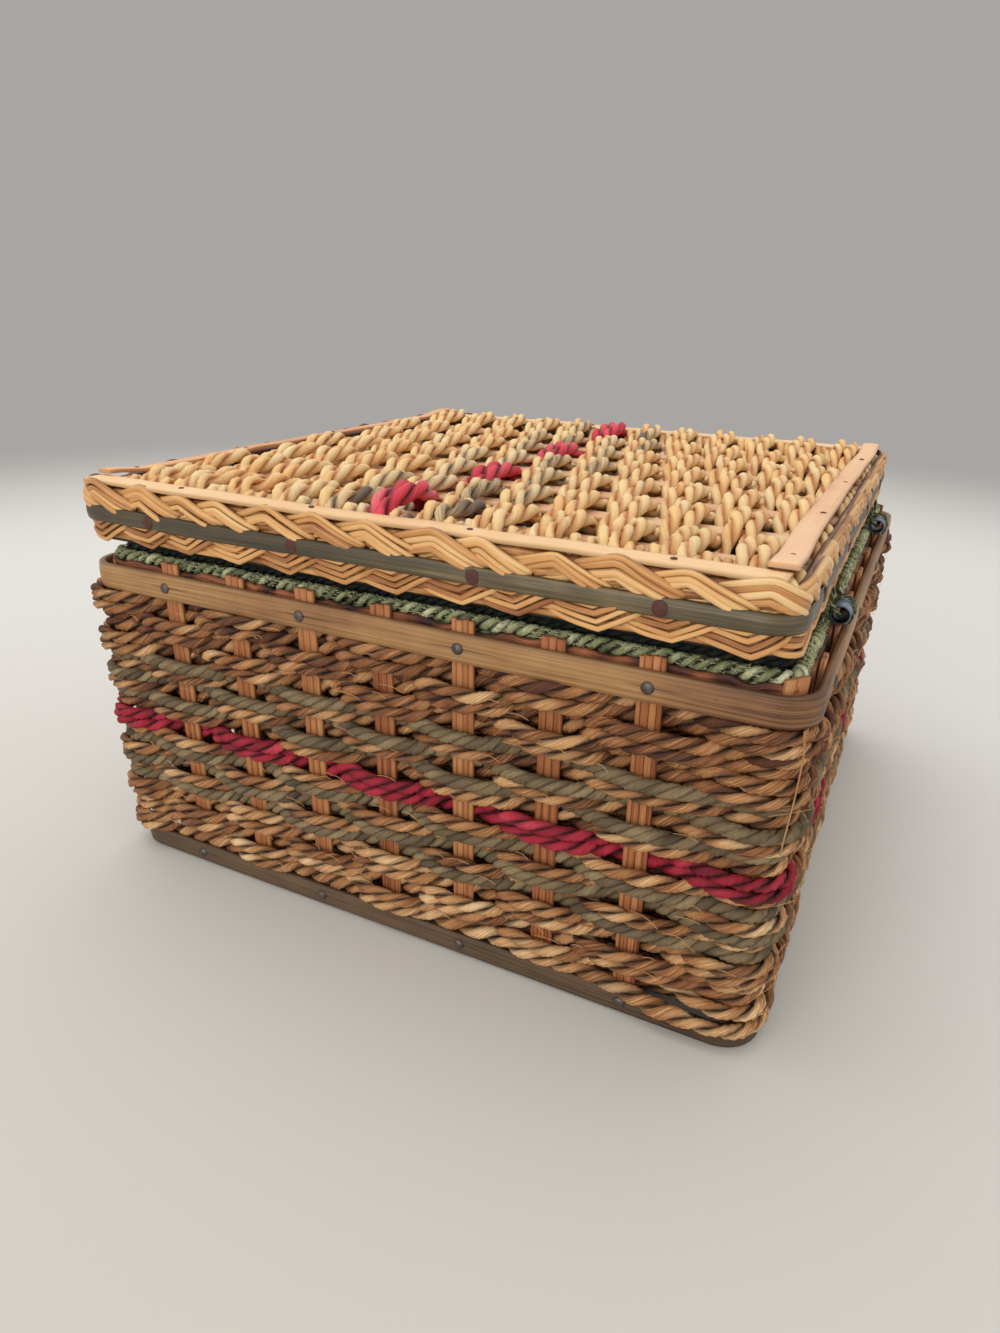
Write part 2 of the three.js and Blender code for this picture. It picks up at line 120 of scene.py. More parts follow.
class Ring:
    """A rounded rectangle walked counter-clockwise from the middle of its front left corner: four quarter
    circles joined by straight sides. The corner it starts on is walked as two eighths."""

    ARC_POINTS = 25

    def __init__(self, half, radius, centre=(0.0, 0.0)):
        arcs = [(-135, -90, -1, -1), (-90, 0, 1, -1), (0, 90, 1, 1), (90, 180, -1, 1), (180, 225, -1, -1)]
        angles, points = [], []
        for start, end, side_x, side_y in arcs:
            angle = np.radians(np.linspace(start, end, self.ARC_POINTS))
            pivot = np.array([side_x, side_y]) * (np.array(half) - radius) + centre
            angles.append(angle)
            points.append(pivot + radius * np.stack([np.cos(angle), np.sin(angle)], -1))
        self.angles, self.points = np.concatenate(angles), np.concatenate(points)
        self.walked = walked_to(self.points)
        self.length = self.walked[-1]

    def at(self, s):
        """Points and outward directions at lengths along the ring."""
        s = np.mod(s, self.length)
        place = np.stack([np.interp(s, self.walked, self.points[:, k]) for k in (0, 1)], -1)
        angle = np.interp(s, self.walked, self.angles)
        return place, np.stack([np.cos(angle), np.sin(angle)], -1)

    def side(self, arc, axis, places):
        """Lengths at which the straight side after an arc passes the given places on an axis."""
        last = self.ARC_POINTS * (arc + 1) - 1
        return self.walked[last] + np.abs(np.array(places) - self.points[last, axis])

    def corner(self, index):
        """Length at the middle of the front right, back right or back left corner: 1, 2 or 3."""
        return self.walked[self.ARC_POINTS * index + self.ARC_POINTS // 2]

    def stations(self):
        """Lengths at which the ring passes the corner posts and the stakes, all the way round."""
        return np.concatenate([
            [0], self.side(0, 0, FRONT_STAKES), [self.corner(1)], self.side(1, 1, SIDE_STAKES),
            [self.corner(2)], self.side(2, 0, FRONT_STAKES[::-1]), [self.corner(3)],
            self.side(3, 1, SIDE_STAKES[::-1]), [self.length]])

    def steps(self, size):
        """Even lengths all the way round, about a size apart."""
        return np.linspace(0, self.length, round(self.length / size), endpoint=False)


def raised(place, height):
    """Plane points lifted to a height each."""
    return np.concatenate([place, np.broadcast_to(height, len(place))[:, None]], -1)


def frames(path, closed, reference=UP):
    """Directions along a path: across is heading x reference, rise is across x heading.
    Also the length walked to each point, and the whole length."""
    path = np.asarray(path, float)
    heading = np.roll(path, -1, 0) - np.roll(path, 1, 0) if closed else np.gradient(path, axis=0)
    heading /= np.linalg.norm(heading, axis=1, keepdims=True)
    across = np.cross(heading, reference)
    across /= np.linalg.norm(across, axis=1, keepdims=True)
    walked = walked_to(path, True)
    whole = walked[-1] if closed else walked[-2]
    return across, np.cross(across, heading), walked[:-1], whole


SPAN_POINTS = 16


def smooth(points, step):
    """A curve through the points by Catmull-Rom spans, cut into even steps."""
    p = np.array(points, float)
    p = np.concatenate([[2 * p[0] - p[1]], p, [2 * p[-1] - p[-2]]])
    t = np.linspace(0, 1, SPAN_POINTS + 1)[:-1, None]
    spans = [
        ((2 * b) + (c - a) * t + (2 * a - 5 * b + 4 * c - d) * t**2 + (3 * b - a - 3 * c + d) * t**3) / 2
        for a, b, c, d in zip(p, p[1:], p[2:], p[3:])]
    curve = np.concatenate([*spans, [p[-2]]])
    walked = walked_to(curve)
    even = np.linspace(0, walked[-1], max(3, round(walked[-1] / step)))
    return np.stack([np.interp(even, walked, curve[:, k]) for k in range(3)], -1)


class Shape:
    """Gathers grids of points into one mesh. Lengths along and round each grid become its UV map, and
    each point has two values: shade picks its tone, and clear is 0 deep in a groove and 1 outside; where
    it is below 1 the paint adds painted shade."""

    def __init__(self):
        self.points, self.loops, self.sizes, self.lay, self.shade, self.clear = [], [], [], [], [], []
        self.count = 0

    def grid(self, points, along, around, closed, shade, clear=1.0):
        """points is (n, m, 3): n sections along a path, each a closed loop of m points."""
        n, m = points.shape[:2]
        i, j = np.meshgrid(np.arange(n if closed else n - 1), np.arange(m), indexing="ij")
        nxt, turn = (i + 1) % n, (j + 1) % m
        quads = np.stack([i * m + j, nxt * m + j, nxt * m + turn, i * m + turn], -1).reshape(-1, 4)
        self.loops.append((quads + self.count).ravel())
        self.sizes.append(np.full(len(quads), 4))
        u = np.append(along, along[-1] + (along[1] - along[0]))
        lay = np.stack([
            np.stack([u[i], u[i + 1], u[i + 1], u[i]], -1),
            np.stack([around[j], around[j], around[j + 1], around[j + 1]], -1)], -1)
        self.lay.append(lay.reshape(-1, 2))
        if not closed:
            for row, ring in ((0, np.arange(m)), (n - 1, np.arange(m)[::-1])):
                self.loops.append(ring + row * m + self.count)
                self.sizes.append(np.array([m]))
                self.lay.append(np.stack([np.full(m, u[row]), around[:m]], -1))
        self.points.append(points.reshape(-1, 3))
        shade = np.broadcast_to(shade, (m, n)).T if np.ndim(shade) < 2 else shade
        self.shade.append(shade.ravel())
        self.clear.append(np.broadcast_to(clear, (n, m)).ravel())
        self.count += n * m

    def make(self, name, paint, body, slot, *nodes):
        """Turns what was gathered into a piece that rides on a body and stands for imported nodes."""
        mesh = bpy.data.meshes.new(name)
        points, loops, sizes = (np.concatenate(a) for a in (self.points, self.loops, self.sizes))
        mesh.vertices.add(len(points))
        mesh.vertices.foreach_set("co", (points * MM).astype(np.float32).ravel())
        mesh.loops.add(len(loops))
        mesh.loops.foreach_set("vertex_index", loops.astype(np.int32))
        mesh.polygons.add(len(sizes))
        starts = np.concatenate([[0], np.cumsum(sizes)[:-1]])
        mesh.polygons.foreach_set("loop_start", starts.astype(np.int32))
        mesh.polygons.foreach_set("use_smooth", sizes == 4)
        lay = np.concatenate(self.lay).astype(np.float32)
        mesh.uv_layers.new(name="lay").data.foreach_set("uv", lay.ravel())
        for label, values in (("shade", self.shade), ("clear", self.clear)):
            layer = mesh.attributes.new(label, "FLOAT", "POINT")
            layer.data.foreach_set("value", np.concatenate(values).astype(np.float32))
        mesh.update(calc_edges=True)
        mesh.materials.append(paint)
        piece = bpy.data.objects.new(name, mesh)
        bpy.context.collection.objects.link(piece)
        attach(piece, body)
        if nodes:
            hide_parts(*nodes)


# Strands, cords and laths

def carried(path, across, rise, a, r):
    """Sections carried along a path: each point goes a across it and r up its rise."""
    return path[:, None] + across[:, None] * a[..., None] + rise[:, None] * r[..., None]


def turn_lengths(turn, radius):
    """Lengths walked round a circle to its angles, and all the way round."""
    return np.append(turn, 2 * np.pi) * radius


def tube(shape, path, thick, wide, closed=False, shade=0.5, sides=8, reference=UP, clear=1.0):
    """A round or flattened strand: an ellipse carried along a path, thick across and wide along its
    rise."""
    across, rise, along, _ = frames(path, closed, reference)
    turn = full_turn(sides)
    a = np.asarray(thick)[..., None] / 2 * np.cos(turn)
    r = np.asarray(wide)[..., None] / 2 * np.sin(turn)
    a, r = (np.broadcast_to(each, (len(path), sides)) for each in (a, r))
    around = np.linspace(0, np.pi * np.max(wide), sides + 1)
    shape.grid(carried(path, across, rise, a, r), along, around, closed, shade, clear)


# The drifts of a ply go over a number of pitches.
PLY_OFFSET = 0.45
PLY_OFFSET_DRIFT = (0.2, 1)
PLY_DEPTH = 0.55
PLY_BREADTH = 0.7
PLY_SIZE_DRIFT = (0.15, 0.6)
PLY_TURN_DRIFT = (1.3, 2.6)
PLY_TONE_DRIFT = (0.32, 0.7)
PLY_TONE_STEP = 0.14
# Painted shade in the grooves between plies: points nearer the cord's middle than the floor share of its
# radius are fully shaded, fading out over the depth share.
GROOVE_FLOOR = 0.6
GROOVE_DEPTH = 0.36


def twist(shape, path, radius, pitch, closed, seed, tone=0.5, sides=10, reference=UP, plies=2,
          breadth=PLY_BREADTH):
    """A laid cord: each ply is a tube whose middle circles the path once per pitch, squeezed flat towards
    the middle. Ply size and the rate of turn wander, and a point is clear where it is far from the middle;
    nearer the middle, between the plies, it gets painted shade.
    The radius may change along the path."""
    across, rise, along, whole = frames(path, closed, reference)
    radius = np.broadcast_to(radius, len(path))[:, None]

    def drifting(drift, number):
        """A drift over a number of pitches, with random heights of its own."""
        size, pitches = drift
        return wander(along, (size, pitches * pitch), seed + number, whole if closed else 0)

    turns = max(1, round(whole / pitch))
    angle = 2 * np.pi * turns * along / whole + drifting(PLY_TURN_DRIFT, 0)
    turn = full_turn(sides)
    for ply in range(plies):
        first = 11 * ply
        spin = (angle + 2 * np.pi * ply / plies)[:, None]
        size = (1 + drifting(PLY_SIZE_DRIFT, first + 1))[:, None]
        off = radius * PLY_OFFSET * (1 + drifting(PLY_OFFSET_DRIFT, first + 2))[:, None]
        outward = off + radius * PLY_DEPTH * size * np.cos(turn)
        aside = radius * breadth * size * np.sin(turn)
        a = outward * np.cos(spin) - aside * np.sin(spin)
        r = outward * np.sin(spin) + aside * np.cos(spin)
        clear = np.clip((np.hypot(a, r) / radius - GROOVE_FLOOR) / GROOVE_DEPTH, 0, 1)
        shade = tone + drifting(PLY_TONE_DRIFT, first + 3) + PLY_TONE_STEP * (ply - 0.5)
        around = turn_lengths(turn, radius.max() * breadth)
        shape.grid(carried(path, across, rise, a, r), along, around, closed, shade, clear)


# Places over a lath's half width: its face, with a crack's lips at the middle, then its edges and back
FACE = np.array([-0.94, -0.7, -0.4, -0.12, -0.05, 0.0, 0.05, 0.12, 0.4, 0.7, 0.94])
EDGE_AND_BACK = [1, 1, 0.93, -0.93, -1, -1]
CRACK_LIP = 0.12
# Painted shade on a lath: darkening in its crack, towards the edges of its face, and on its edges and back.
CRACK_DARKNESS = 3
FACE_EDGE_SHADE = 0.35
EDGE_CLEAR = 0.55


def lath(shape, path, thick, wide, closed=False, shade=0.5, crown=0.15, soft=0.3, split=0.0, reference=UP):
    """A strip: its section is a flat back and a face that falls by crown towards rounded edges. split is
    how deep a crack opens along the middle of the face at each point of the path."""
    across, rise, along, _ = frames(path, closed, reference)
    n, edges = len(path), len(EDGE_AND_BACK)
    crack = np.where(FACE == 0, 1.0, np.where(np.abs(FACE) < 0.1, CRACK_LIP, 0.0))
    wide, split = (np.broadcast_to(each, n)[:, None] for each in (wide, split))
    face = thick / 2 - crown * FACE**2 - split * crack
    front, back = thick / 2 - crown - soft, -thick / 2
    edge = np.array([front, back + soft, back, back, back + soft, front])
    a = np.concatenate([face, np.broadcast_to(edge, (n, edges))], -1)
    r = np.concatenate([FACE, EDGE_AND_BACK]) * wide / 2
    around = walked_to(np.stack([a[0], r[0]], -1), True)
    # Painted shade: clear falls in the crack, towards the face's edges and on the edges and back.
    deep = split * np.concatenate([crack, np.zeros(edges)])
    rim = np.concatenate([1 - FACE_EDGE_SHADE * np.abs(FACE) ** 6, np.full(edges, EDGE_CLEAR)])
    clear = np.clip(rim - CRACK_DARKNESS * deep, 0, 1)
    shape.grid(carried(path, across, rise, a, r), along, around, closed, shade, clear)


NAIL_LEVELS = 6
NAIL_SIDES = 14
NAIL_TOP_ANGLE = 0.12


def dome(shape, centre, normal, radius, height):
    """A nail head: a quarter ellipse turned round the nail, ending in a small flat top."""
    normal = np.array(normal, float) / np.linalg.norm(normal)
    a = np.cross(normal, UP if abs(normal[2]) < 0.9 else RIGHT)
    a /= np.linalg.norm(a)
    b = np.cross(a, normal)
    lift = np.linspace(0, np.pi / 2 - NAIL_TOP_ANGLE, NAIL_LEVELS)
    turn = full_turn(NAIL_SIDES)
    spread = radius * np.cos(lift)[:, None, None] * (np.cos(turn)[:, None] * a + np.sin(turn)[:, None] * b)
    points = np.array(centre) + spread + (height * np.sin(lift))[:, None, None] * normal
    shape.grid(points, radius * lift, turn_lengths(turn, radius), False, 0.5)


def nails_round(heads, centre, half, across, along, radius, rise, tilt):
    """Nail heads on the four sides of a ring: across are places on its front and back, and along are
    places on its left and right."""
    for axis, places in enumerate((across, along)):
        for place in places:
            for side in (-1, 1):
                spot, facing = np.array(centre, float), tilt * UP
                spot[axis] = place
                spot[1 - axis] += side * half[1 - axis]
                facing[1 - axis] = side
                dome(heads, spot, facing, radius, rise)


# Finishes

def tone(red, green, blue):
    """A colour as it is seen on a screen, 0 to 255, as the linear value that shaders use."""
    value = np.array([red, green, blue]) / 255
    return (*np.where(value < 0.04045, value / 12.92, ((value + 0.055) / 1.055) ** 2.4), 1.0)


class Paint:
    """A material under construction. add makes a node and gives its sockets a value or a link."""

    def __init__(self, name):
        self.material = bpy.data.materials.new(name)
        self.material.use_nodes = True
        self.tree = self.material.node_tree
        self.shader = self.tree.nodes["Principled BSDF"]

    def put(self, node, sockets):
        """Gives sockets of a node a value, or a link from another node's socket."""
        for socket, value in sockets.items():
            if isinstance(value, bpy.types.NodeSocket):
                self.tree.links.new(value, node.inputs[socket])
            else:
                node.inputs[socket].default_value = value

    def add(self, kind, sockets, **settings):
        """A new node with its settings and sockets."""
        node = self.tree.nodes.new("ShaderNode" + kind)
        for setting, value in settings.items():
            setattr(node, setting, value)
        self.put(node, sockets)
        return node

    def math(self, operation, *values):
        """The result of a sum, product or comparison."""
        node = self.add("Math", dict(enumerate(values)), operation=operation)
        return node.outputs[0]

    def moved(self, value, pattern, spread):
        """A value moved up and down by a pattern that lies about a half."""
        return self.math("MULTIPLY_ADD", self.math("SUBTRACT", pattern, 0.5), spread, value)

    def noise(self, vector, scale, detail, rough=0.55):
        """A cloudy pattern about a half."""
        sockets = {"Vector": vector, "Scale": scale, "Detail": detail, "Roughness": rough}
        return self.add("TexNoise", sockets).outputs[0]

    def stretched(self, vector, along, around):
        """Coordinates along and round the strand, scaled so that a pattern draws out along it."""
        return self.add("Mapping", {"Vector": vector, "Scale": (along, around, 1.0)}).outputs[0]

    def ramp(self, value, tones):
        """Colours one after the other, evenly over the values 0 to 1."""
        node = self.add("ValToRGB", {"Fac": value})
        stops = node.color_ramp.elements
        for index, colour in enumerate(tones):
            stop = stops[index] if index < 2 else stops.new(1.0)
            stop.color = tone(*colour)
        for index, stop in enumerate(stops):
            stop.position = index / (len(tones) - 1)
        return node.outputs[0]

    def mix(self, share, first, second):
        """The first colour at a share of 0, the second at 1, and blends between them."""
        node = self.add("Mix", {}, data_type="RGBA")
        for socket, value in ((0, share), (6, first), (7, second)):
            self.put(node, {socket: value})
        return node.outputs[2]

    def bump(self, height, strength, distance):
        """Lets light fall as if the surface rose by the height, up to a distance in metres."""
        sockets = {"Height": height, "Strength": strength, "Distance": distance}
        self.put(self.shader, {"Normal": self.add("Bump", sockets).outputs[0]})


# Pattern scales on the UV map are per millimetre, and those on Object coordinates are per metre. A relief
# is in metres.
BLOTCH_SCALE = 90.0
BLOTCH_SPREAD = 0.5
SPECK_STRETCH = (0.35, 1.1)
SPECK_STRENGTH = 0.5
# How far painted shade goes towards the groove colour where a point isn't clear.
GROOVE_STRENGTH = 0.85
FIBRE_RELIEF = 0.0004
TARNISH_SCALE = 700.0
TARNISH_RELIEF = 0.0002
TARNISH_STRENGTH = 0.35


def fibre(name, tones, groove, streaks=(0.07, 2.0), spread=0.9, relief=0.5, rough=(0.5, 0.8), spots=0.0):
    """Plant fibre or split wood: fine streaks along the strand and slow blotches move its shade between the
    tones, and what isn't clear goes towards the groove colour as painted shade. spots is the share that dark
    specks take."""
    paint = Paint(name)
    lay = paint.add("UVMap", {}, uv_map="lay").outputs[0]
    place = paint.add("TexCoord", {}).outputs["Object"]
    fine = paint.noise(paint.stretched(lay, *streaks), 1.0, 4.0, 0.65)
    broad = paint.noise(place, BLOTCH_SCALE, 2.0)
    shade = paint.add("Attribute", {}, attribute_name="shade").outputs["Fac"]
    clear = paint.add("Attribute", {}, attribute_name="clear").outputs["Fac"]
    lean = paint.moved(paint.moved(shade, fine, spread), broad, BLOTCH_SPREAD)
    colour = paint.ramp(lean, tones)
    if spots:
        speck = paint.noise(paint.stretched(lay, *SPECK_STRETCH), 1.0, 1.0)
        share = paint.math("MULTIPLY", paint.math("GREATER_THAN", speck, 1.0 - spots), SPECK_STRENGTH)
        colour = paint.mix(share, colour, tone(*groove))
    # Painted shade: what isn't clear is darkened towards the groove colour.
    hidden = paint.math("SUBTRACT", 1.0, clear)
    colour = paint.mix(paint.math("MULTIPLY", hidden, GROOVE_STRENGTH), colour, tone(*groove))
    dull = paint.math("MULTIPLY_ADD", fine, rough[1] - rough[0], rough[0])
    paint.put(paint.shader, {"Base Color": colour, "Roughness": dull})
    paint.bump(fine, relief, FIBRE_RELIEF)
    return paint.material


def metal(name, tones, rough=(0.3, 0.55), shine=0.9, dark=None):
    """Worn metal: blotches move between the tones and dull the surface. A dark colour, painted shade, shows
    where the shade of the piece is 0."""
    paint = Paint(name)
    place = paint.add("TexCoord", {}).outputs["Object"]
    blotch = paint.noise(place, TARNISH_SCALE, 3.0)
    colour = paint.ramp(blotch, tones)
    # Painted shade: the dark colour is mixed in where the piece's shade is low.
    if dark:
        lit = paint.add("Attribute", {}, attribute_name="shade").outputs["Fac"]
        colour = paint.mix(lit, tone(*dark), colour)
    dull = paint.math("MULTIPLY_ADD", blotch, rough[1] - rough[0], rough[0])
    paint.put(paint.shader, {"Base Color": colour, "Metallic": shine, "Roughness": dull})
    paint.bump(blotch, TARNISH_STRENGTH, TARNISH_RELIEF)
    return paint.material


# The colour after each paint's tones is its groove colour: painted shade in grooves and gaps, and on rim and
# base wood also the colour of real dark specks.
STRAW = fibre("straw", ((88, 42, 18), (166, 108, 60), (210, 158, 104), (250, 215, 164)), (20, 7, 3),
              spread=1.9, relief=0.8)
# The lid's straw, olive and red are paler than the wall's, with lighter groove colours: painted light for
# the lid's top, which lies in full light.
LID_STRAW = fibre("lid_straw", ((238, 181, 113), (244, 203, 138), (244, 212, 154), (244, 220, 175)),
                  (198, 126, 70), spread=1.8, relief=0.9)
OLIVE = fibre("olive", ((70, 56, 38), (110, 91, 64), (140, 118, 84), (170, 146, 106)), (26, 18, 12),
              streaks=(0.15, 2.6), spread=1.6, relief=0.9)
# Painted light, as for the lid's straw.
LID_OLIVE = fibre("lid_olive", ((112, 98, 88), (222, 190, 142), (238, 206, 153), (242, 214, 166)),
                  (112, 84, 60), streaks=(0.15, 2.6), spread=1.8, relief=0.9)
RED = fibre("red", ((100, 8, 24), (160, 18, 42), (188, 34, 58), (216, 76, 90)), (46, 3, 14),
            streaks=(0.12, 2.4), spread=1.3, relief=0.9)
# Painted light, as for the lid's straw.
LID_RED = fibre("lid_red", ((176, 26, 50), (224, 56, 76), (236, 86, 98), (242, 130, 132)), (112, 10, 30),
                streaks=(0.12, 2.4), spread=1.3, relief=0.9)
# Green's darkest tone is painted shade: the collar cords under the lid take it.
GREEN = fibre("green", ((20, 28, 20), (124, 132, 88), (190, 194, 140), (240, 238, 196)), (14, 22, 14),
              streaks=(0.6, 2.6), spread=1.8, relief=1.0)
REED = fibre("reed", ((150, 92, 48), (212, 152, 90), (234, 183, 118), (244, 211, 157)), (58, 26, 12),
             streaks=(0.05, 1.6), spread=1.3, rough=(0.35, 0.6))
SPLINT = fibre("splint", ((122, 62, 32), (178, 108, 62), (200, 132, 80), (222, 164, 108)), (62, 28, 16),
               streaks=(0.03, 3.6), spread=2.0, relief=0.9)
RIM_WOOD = fibre("rim_wood", ((92, 57, 31), (146, 102, 60), (170, 128, 78), (192, 152, 100)), (36, 20, 14),
                 streaks=(0.02, 1.5), spread=1.5, rough=(0.4, 0.65), spots=0.26)
BASE_WOOD = fibre("base_wood", ((56, 39, 24), (86, 64, 41), (105, 80, 54), (126, 99, 70)), (28, 18, 12),
                  streaks=(0.02, 1.5), spread=1.5, rough=(0.4, 0.65), spots=0.26)
DARK_WOOD = fibre("dark_wood", ((40, 16, 10), (112, 58, 32), (154, 86, 50), (190, 118, 74)), (24, 10, 8),
                  streaks=(0.12, 1.8), spread=1.8)
# Painted shade: the lid's inner band is painted near black, as the shadow inside the skirt.
SHADOW_WOOD = fibre("shadow_wood", ((16, 10, 8), (30, 20, 14), (44, 30, 22)), (10, 6, 4))
PALE_WOOD = fibre("pale_wood", ((204, 152, 101), (232, 185, 130), (240, 199, 147), (244, 213, 169)),
                  (132, 86, 48), streaks=(0.015, 1.2), spread=0.8, relief=0.3, rough=(0.35, 0.55))
PINK_WOOD = fibre("pink_wood", ((196, 136, 96), (228, 176, 130), (236, 190, 145), (242, 203, 160)),
                  (104, 62, 40), streaks=(0.015, 1.4), spread=1.0, relief=0.3, rough=(0.4, 0.6))
TAN_WOOD = fibre("tan_wood", ((160, 102, 60), (210, 146, 92), (230, 172, 114), (242, 194, 138)),
                 (84, 44, 26), streaks=(0.015, 1.4), spread=1.0, relief=0.3, rough=(0.4, 0.6))
GREY_WOOD = fibre("grey_wood", ((42, 36, 23), (68, 59, 40), (86, 75, 51), (134, 114, 80)), (26, 22, 16),
                  streaks=(0.02, 1.1), spread=1.6, relief=0.3, rough=(0.3, 0.5))
STEEL = metal("nail_steel", ((52, 46, 42), (98, 90, 86), (138, 132, 128)))
RUST = metal("nail_rust", ((56, 30, 24), (86, 50, 40), (108, 68, 56)), (0.5, 0.7), 0.3)
# Pale blue-grey steel, partly a painted reflection; its dark colour is painted shade in the tube's bore and
# on its ends.
TUBE_STEEL = metal("tube_steel", ((84, 96, 112), (126, 140, 158), (176, 188, 200)), shine=0.5,
                   dark=(10, 12, 20))


# Wall of twisted cords

CORD_STEP = 1.4
SWING_OUT = 2.8
SWING_IN = 2.6
SWING_FLATNESS = 1.3
SWING_DRIFT = (0.4, 19)
LEVEL_DRIFT = (0.4, 16)
CORNER_SWING = (4.2, 1.9, 2.6, 3.0)
CORNER_REACH = 9
CORD_SPREAD = 1.68
INNER_SWELL = 0.36
SWELL_START = 0.7
SAG_DEPTH = 2.2
SAG_OUT = 3.6
SAG_BEFORE_CORNER = 8
SAG_REACH = 26
ROWS = 13
RED_ROW = 6
OLIVE_ABOVE = (7, 8, 9)
OLIVE_BELOW = (3, 4, 5)
STRAW_RADIUS = 1.92
PAIRED_RADIUS = 1.82
OLIVE_RADIUS = 1.95
RED_RADIUS = 1.92
STRAW_PITCH = 13.5
OLIVE_PITCH = 11.4
RED_PITCH = 12.0
WALL_PLY_BREADTH = 0.72
# Painted shade: straw rows are painted darker row by row up the wall, for the shade under the lid's
# overhang.
FOOT_SHADE = 0.52
ROW_PAINTED_SHADE = 0.02


def wall_cord(row, side, seed):
    """Middle of one cord of a wall row: the line of the stakes, pushed out at one stake and in at the next
    by a flattened cosine. Every cord passes outside the corner posts. The two cords of a row are side 1
    above and side -1 below, and the lowest sags near the front right corner. Also how much the cord
    swells: it is fuller wherever it isn't outside."""
    node_height = middle(f"weave_row_{row + 1:02d}")[2]
    ring = Ring(wall_half(node_height) - STAKE_INSET, CORNER_TURN)
    s, stations = ring.steps(CORD_STEP), ring.stations()
    phase = np.pi * (np.interp(s, stations, np.arange(len(stations))) + row)
    wave = flattened(phase, SWING_FLATNESS)
    ends = [hump(s, at, CORNER_REACH) for at in stations[::STAKES + 1]]
    round_corner = sum(end * reach for end, reach in zip(ends, (*CORNER_SWING, CORNER_SWING[0])))
    near = np.clip(sum(ends), 0, 1)
    swing = np.where(wave > 0, SWING_OUT, SWING_IN) * wave * (1 - near) + round_corner + wave * near
    swing = swing + wander(s, SWING_DRIFT, seed, ring.length)
    height = node_height + side * CORD_SPREAD + wander(s, LEVEL_DRIFT, seed + 5, ring.length)
    if row == 0 and side < 0:
        sag = hump(s, ring.corner(1) - SAG_BEFORE_CORNER, SAG_REACH)
        height, swing = height - SAG_DEPTH * sag, np.maximum(swing, SAG_OUT * sag)
    place, out = ring.at(s)
    swell = 1 + INNER_SWELL * np.clip(SWELL_START - wave, 0, 1) * (1 - near)
    return raised(place + out * swing[:, None], height), swell


def wall_rows():
    """Two cords for each row, counted from the foot. The higher a straw row lies, the darker it is
    painted: painted shade under the lid's overhang.
    """
    for row in range(ROWS):
        node = f"weave_row_{row + 1:02d}"
        for side, word in ((1, "upper"), (-1, "lower")):
            seed = 1000 + 40 * row + 7 * side
            path, swell = wall_cord(row, side, seed)
            shape = Shape()
            if row == RED_ROW:
                twist(shape, path, RED_RADIUS * swell, RED_PITCH, True, seed)
                shape.make(f"red_cord_{word}", RED, "box", "red_cord", node)
            elif row in (OLIVE_ABOVE if side > 0 else OLIVE_BELOW):
                twist(shape, path, OLIVE_RADIUS * swell, OLIVE_PITCH, True, seed, plies=3)
                shape.make(f"olive_cord_{row + 1:02d}", OLIVE, "box", "olive_cord", node)
            else:
                radius = PAIRED_RADIUS if row in OLIVE_ABOVE + OLIVE_BELOW else STRAW_RADIUS
                # Painted shade: each row up the wall is painted a little darker.
                shade = FOOT_SHADE - ROW_PAINTED_SHADE * row
                twist(shape, path, radius * swell, STRAW_PITCH, True, seed, shade, breadth=WALL_PLY_BREADTH)
                shape.make(f"straw_cord_{row + 1:02d}_{word}", STRAW, "box", "straw_cord", node)


# Uprights

SPLINT_THICKNESS = 1.1
THICKNESS_SPREAD = 0.1
SPLINT_GAP = 0.04
SPLINT_CROWN = 0.22
SPLINT_EDGE = 0.2
SPLINT_TINT = 0.28
SPLIT_SPREAD = 0.25
SAWN_SHORT = 0.8
STAKE_WIDTH = 6.0
STAKE_BEND = 2.4
LEG_POINTS = 22
BEND_POINTS = 6
FLOOR_POINTS = 20
RIGHT_END_CUT = 1.5
SPLINTS_OF_STAKE = (3, 3, 3, 3, 4, 3, 4)
CORNERS = {"front_left": (-1, -1), "front_right": (1, -1), "back_right": (1, 1), "back_left": (-1, 1)}
POST_POINTS = 24
POST_SETBACK = 0.8
POST_SPLINTS = 2
LEFT_POST_CUT = 2.6


def splints(shape, path, reference, count, seed):
    """Splints side by side along one path: each is a narrow crowned strip, sawn off at its own height."""
    draw = np.random.default_rng(seed)
    _, rise, _, _ = frames(path, False, reference)
    cuts = (draw.uniform(-SPLIT_SPREAD, SPLIT_SPREAD, count - 1) + np.arange(1, count)) / count
    edges = np.concatenate([[0], cuts, [1]]) * STAKE_WIDTH - STAKE_WIDTH / 2
    for left, right in zip(edges, edges[1:]):
        line = path + rise * (left + right) / 2
        for end, inner, cut in zip((0, -1), (1, -2), draw.uniform(0, SAWN_SHORT, 2)):
            inward = line[inner] - line[end]
            line[end] += inward / np.linalg.norm(inward) * cut
        tint = 0.5 + draw.uniform(-SPLINT_TINT, SPLINT_TINT)
        thick = SPLINT_THICKNESS + draw.uniform(-THICKNESS_SPREAD, THICKNESS_SPREAD)
        lath(shape, line, thick, right - left - SPLINT_GAP, shade=tint, crown=SPLINT_CROWN,
             soft=SPLINT_EDGE, reference=reference)


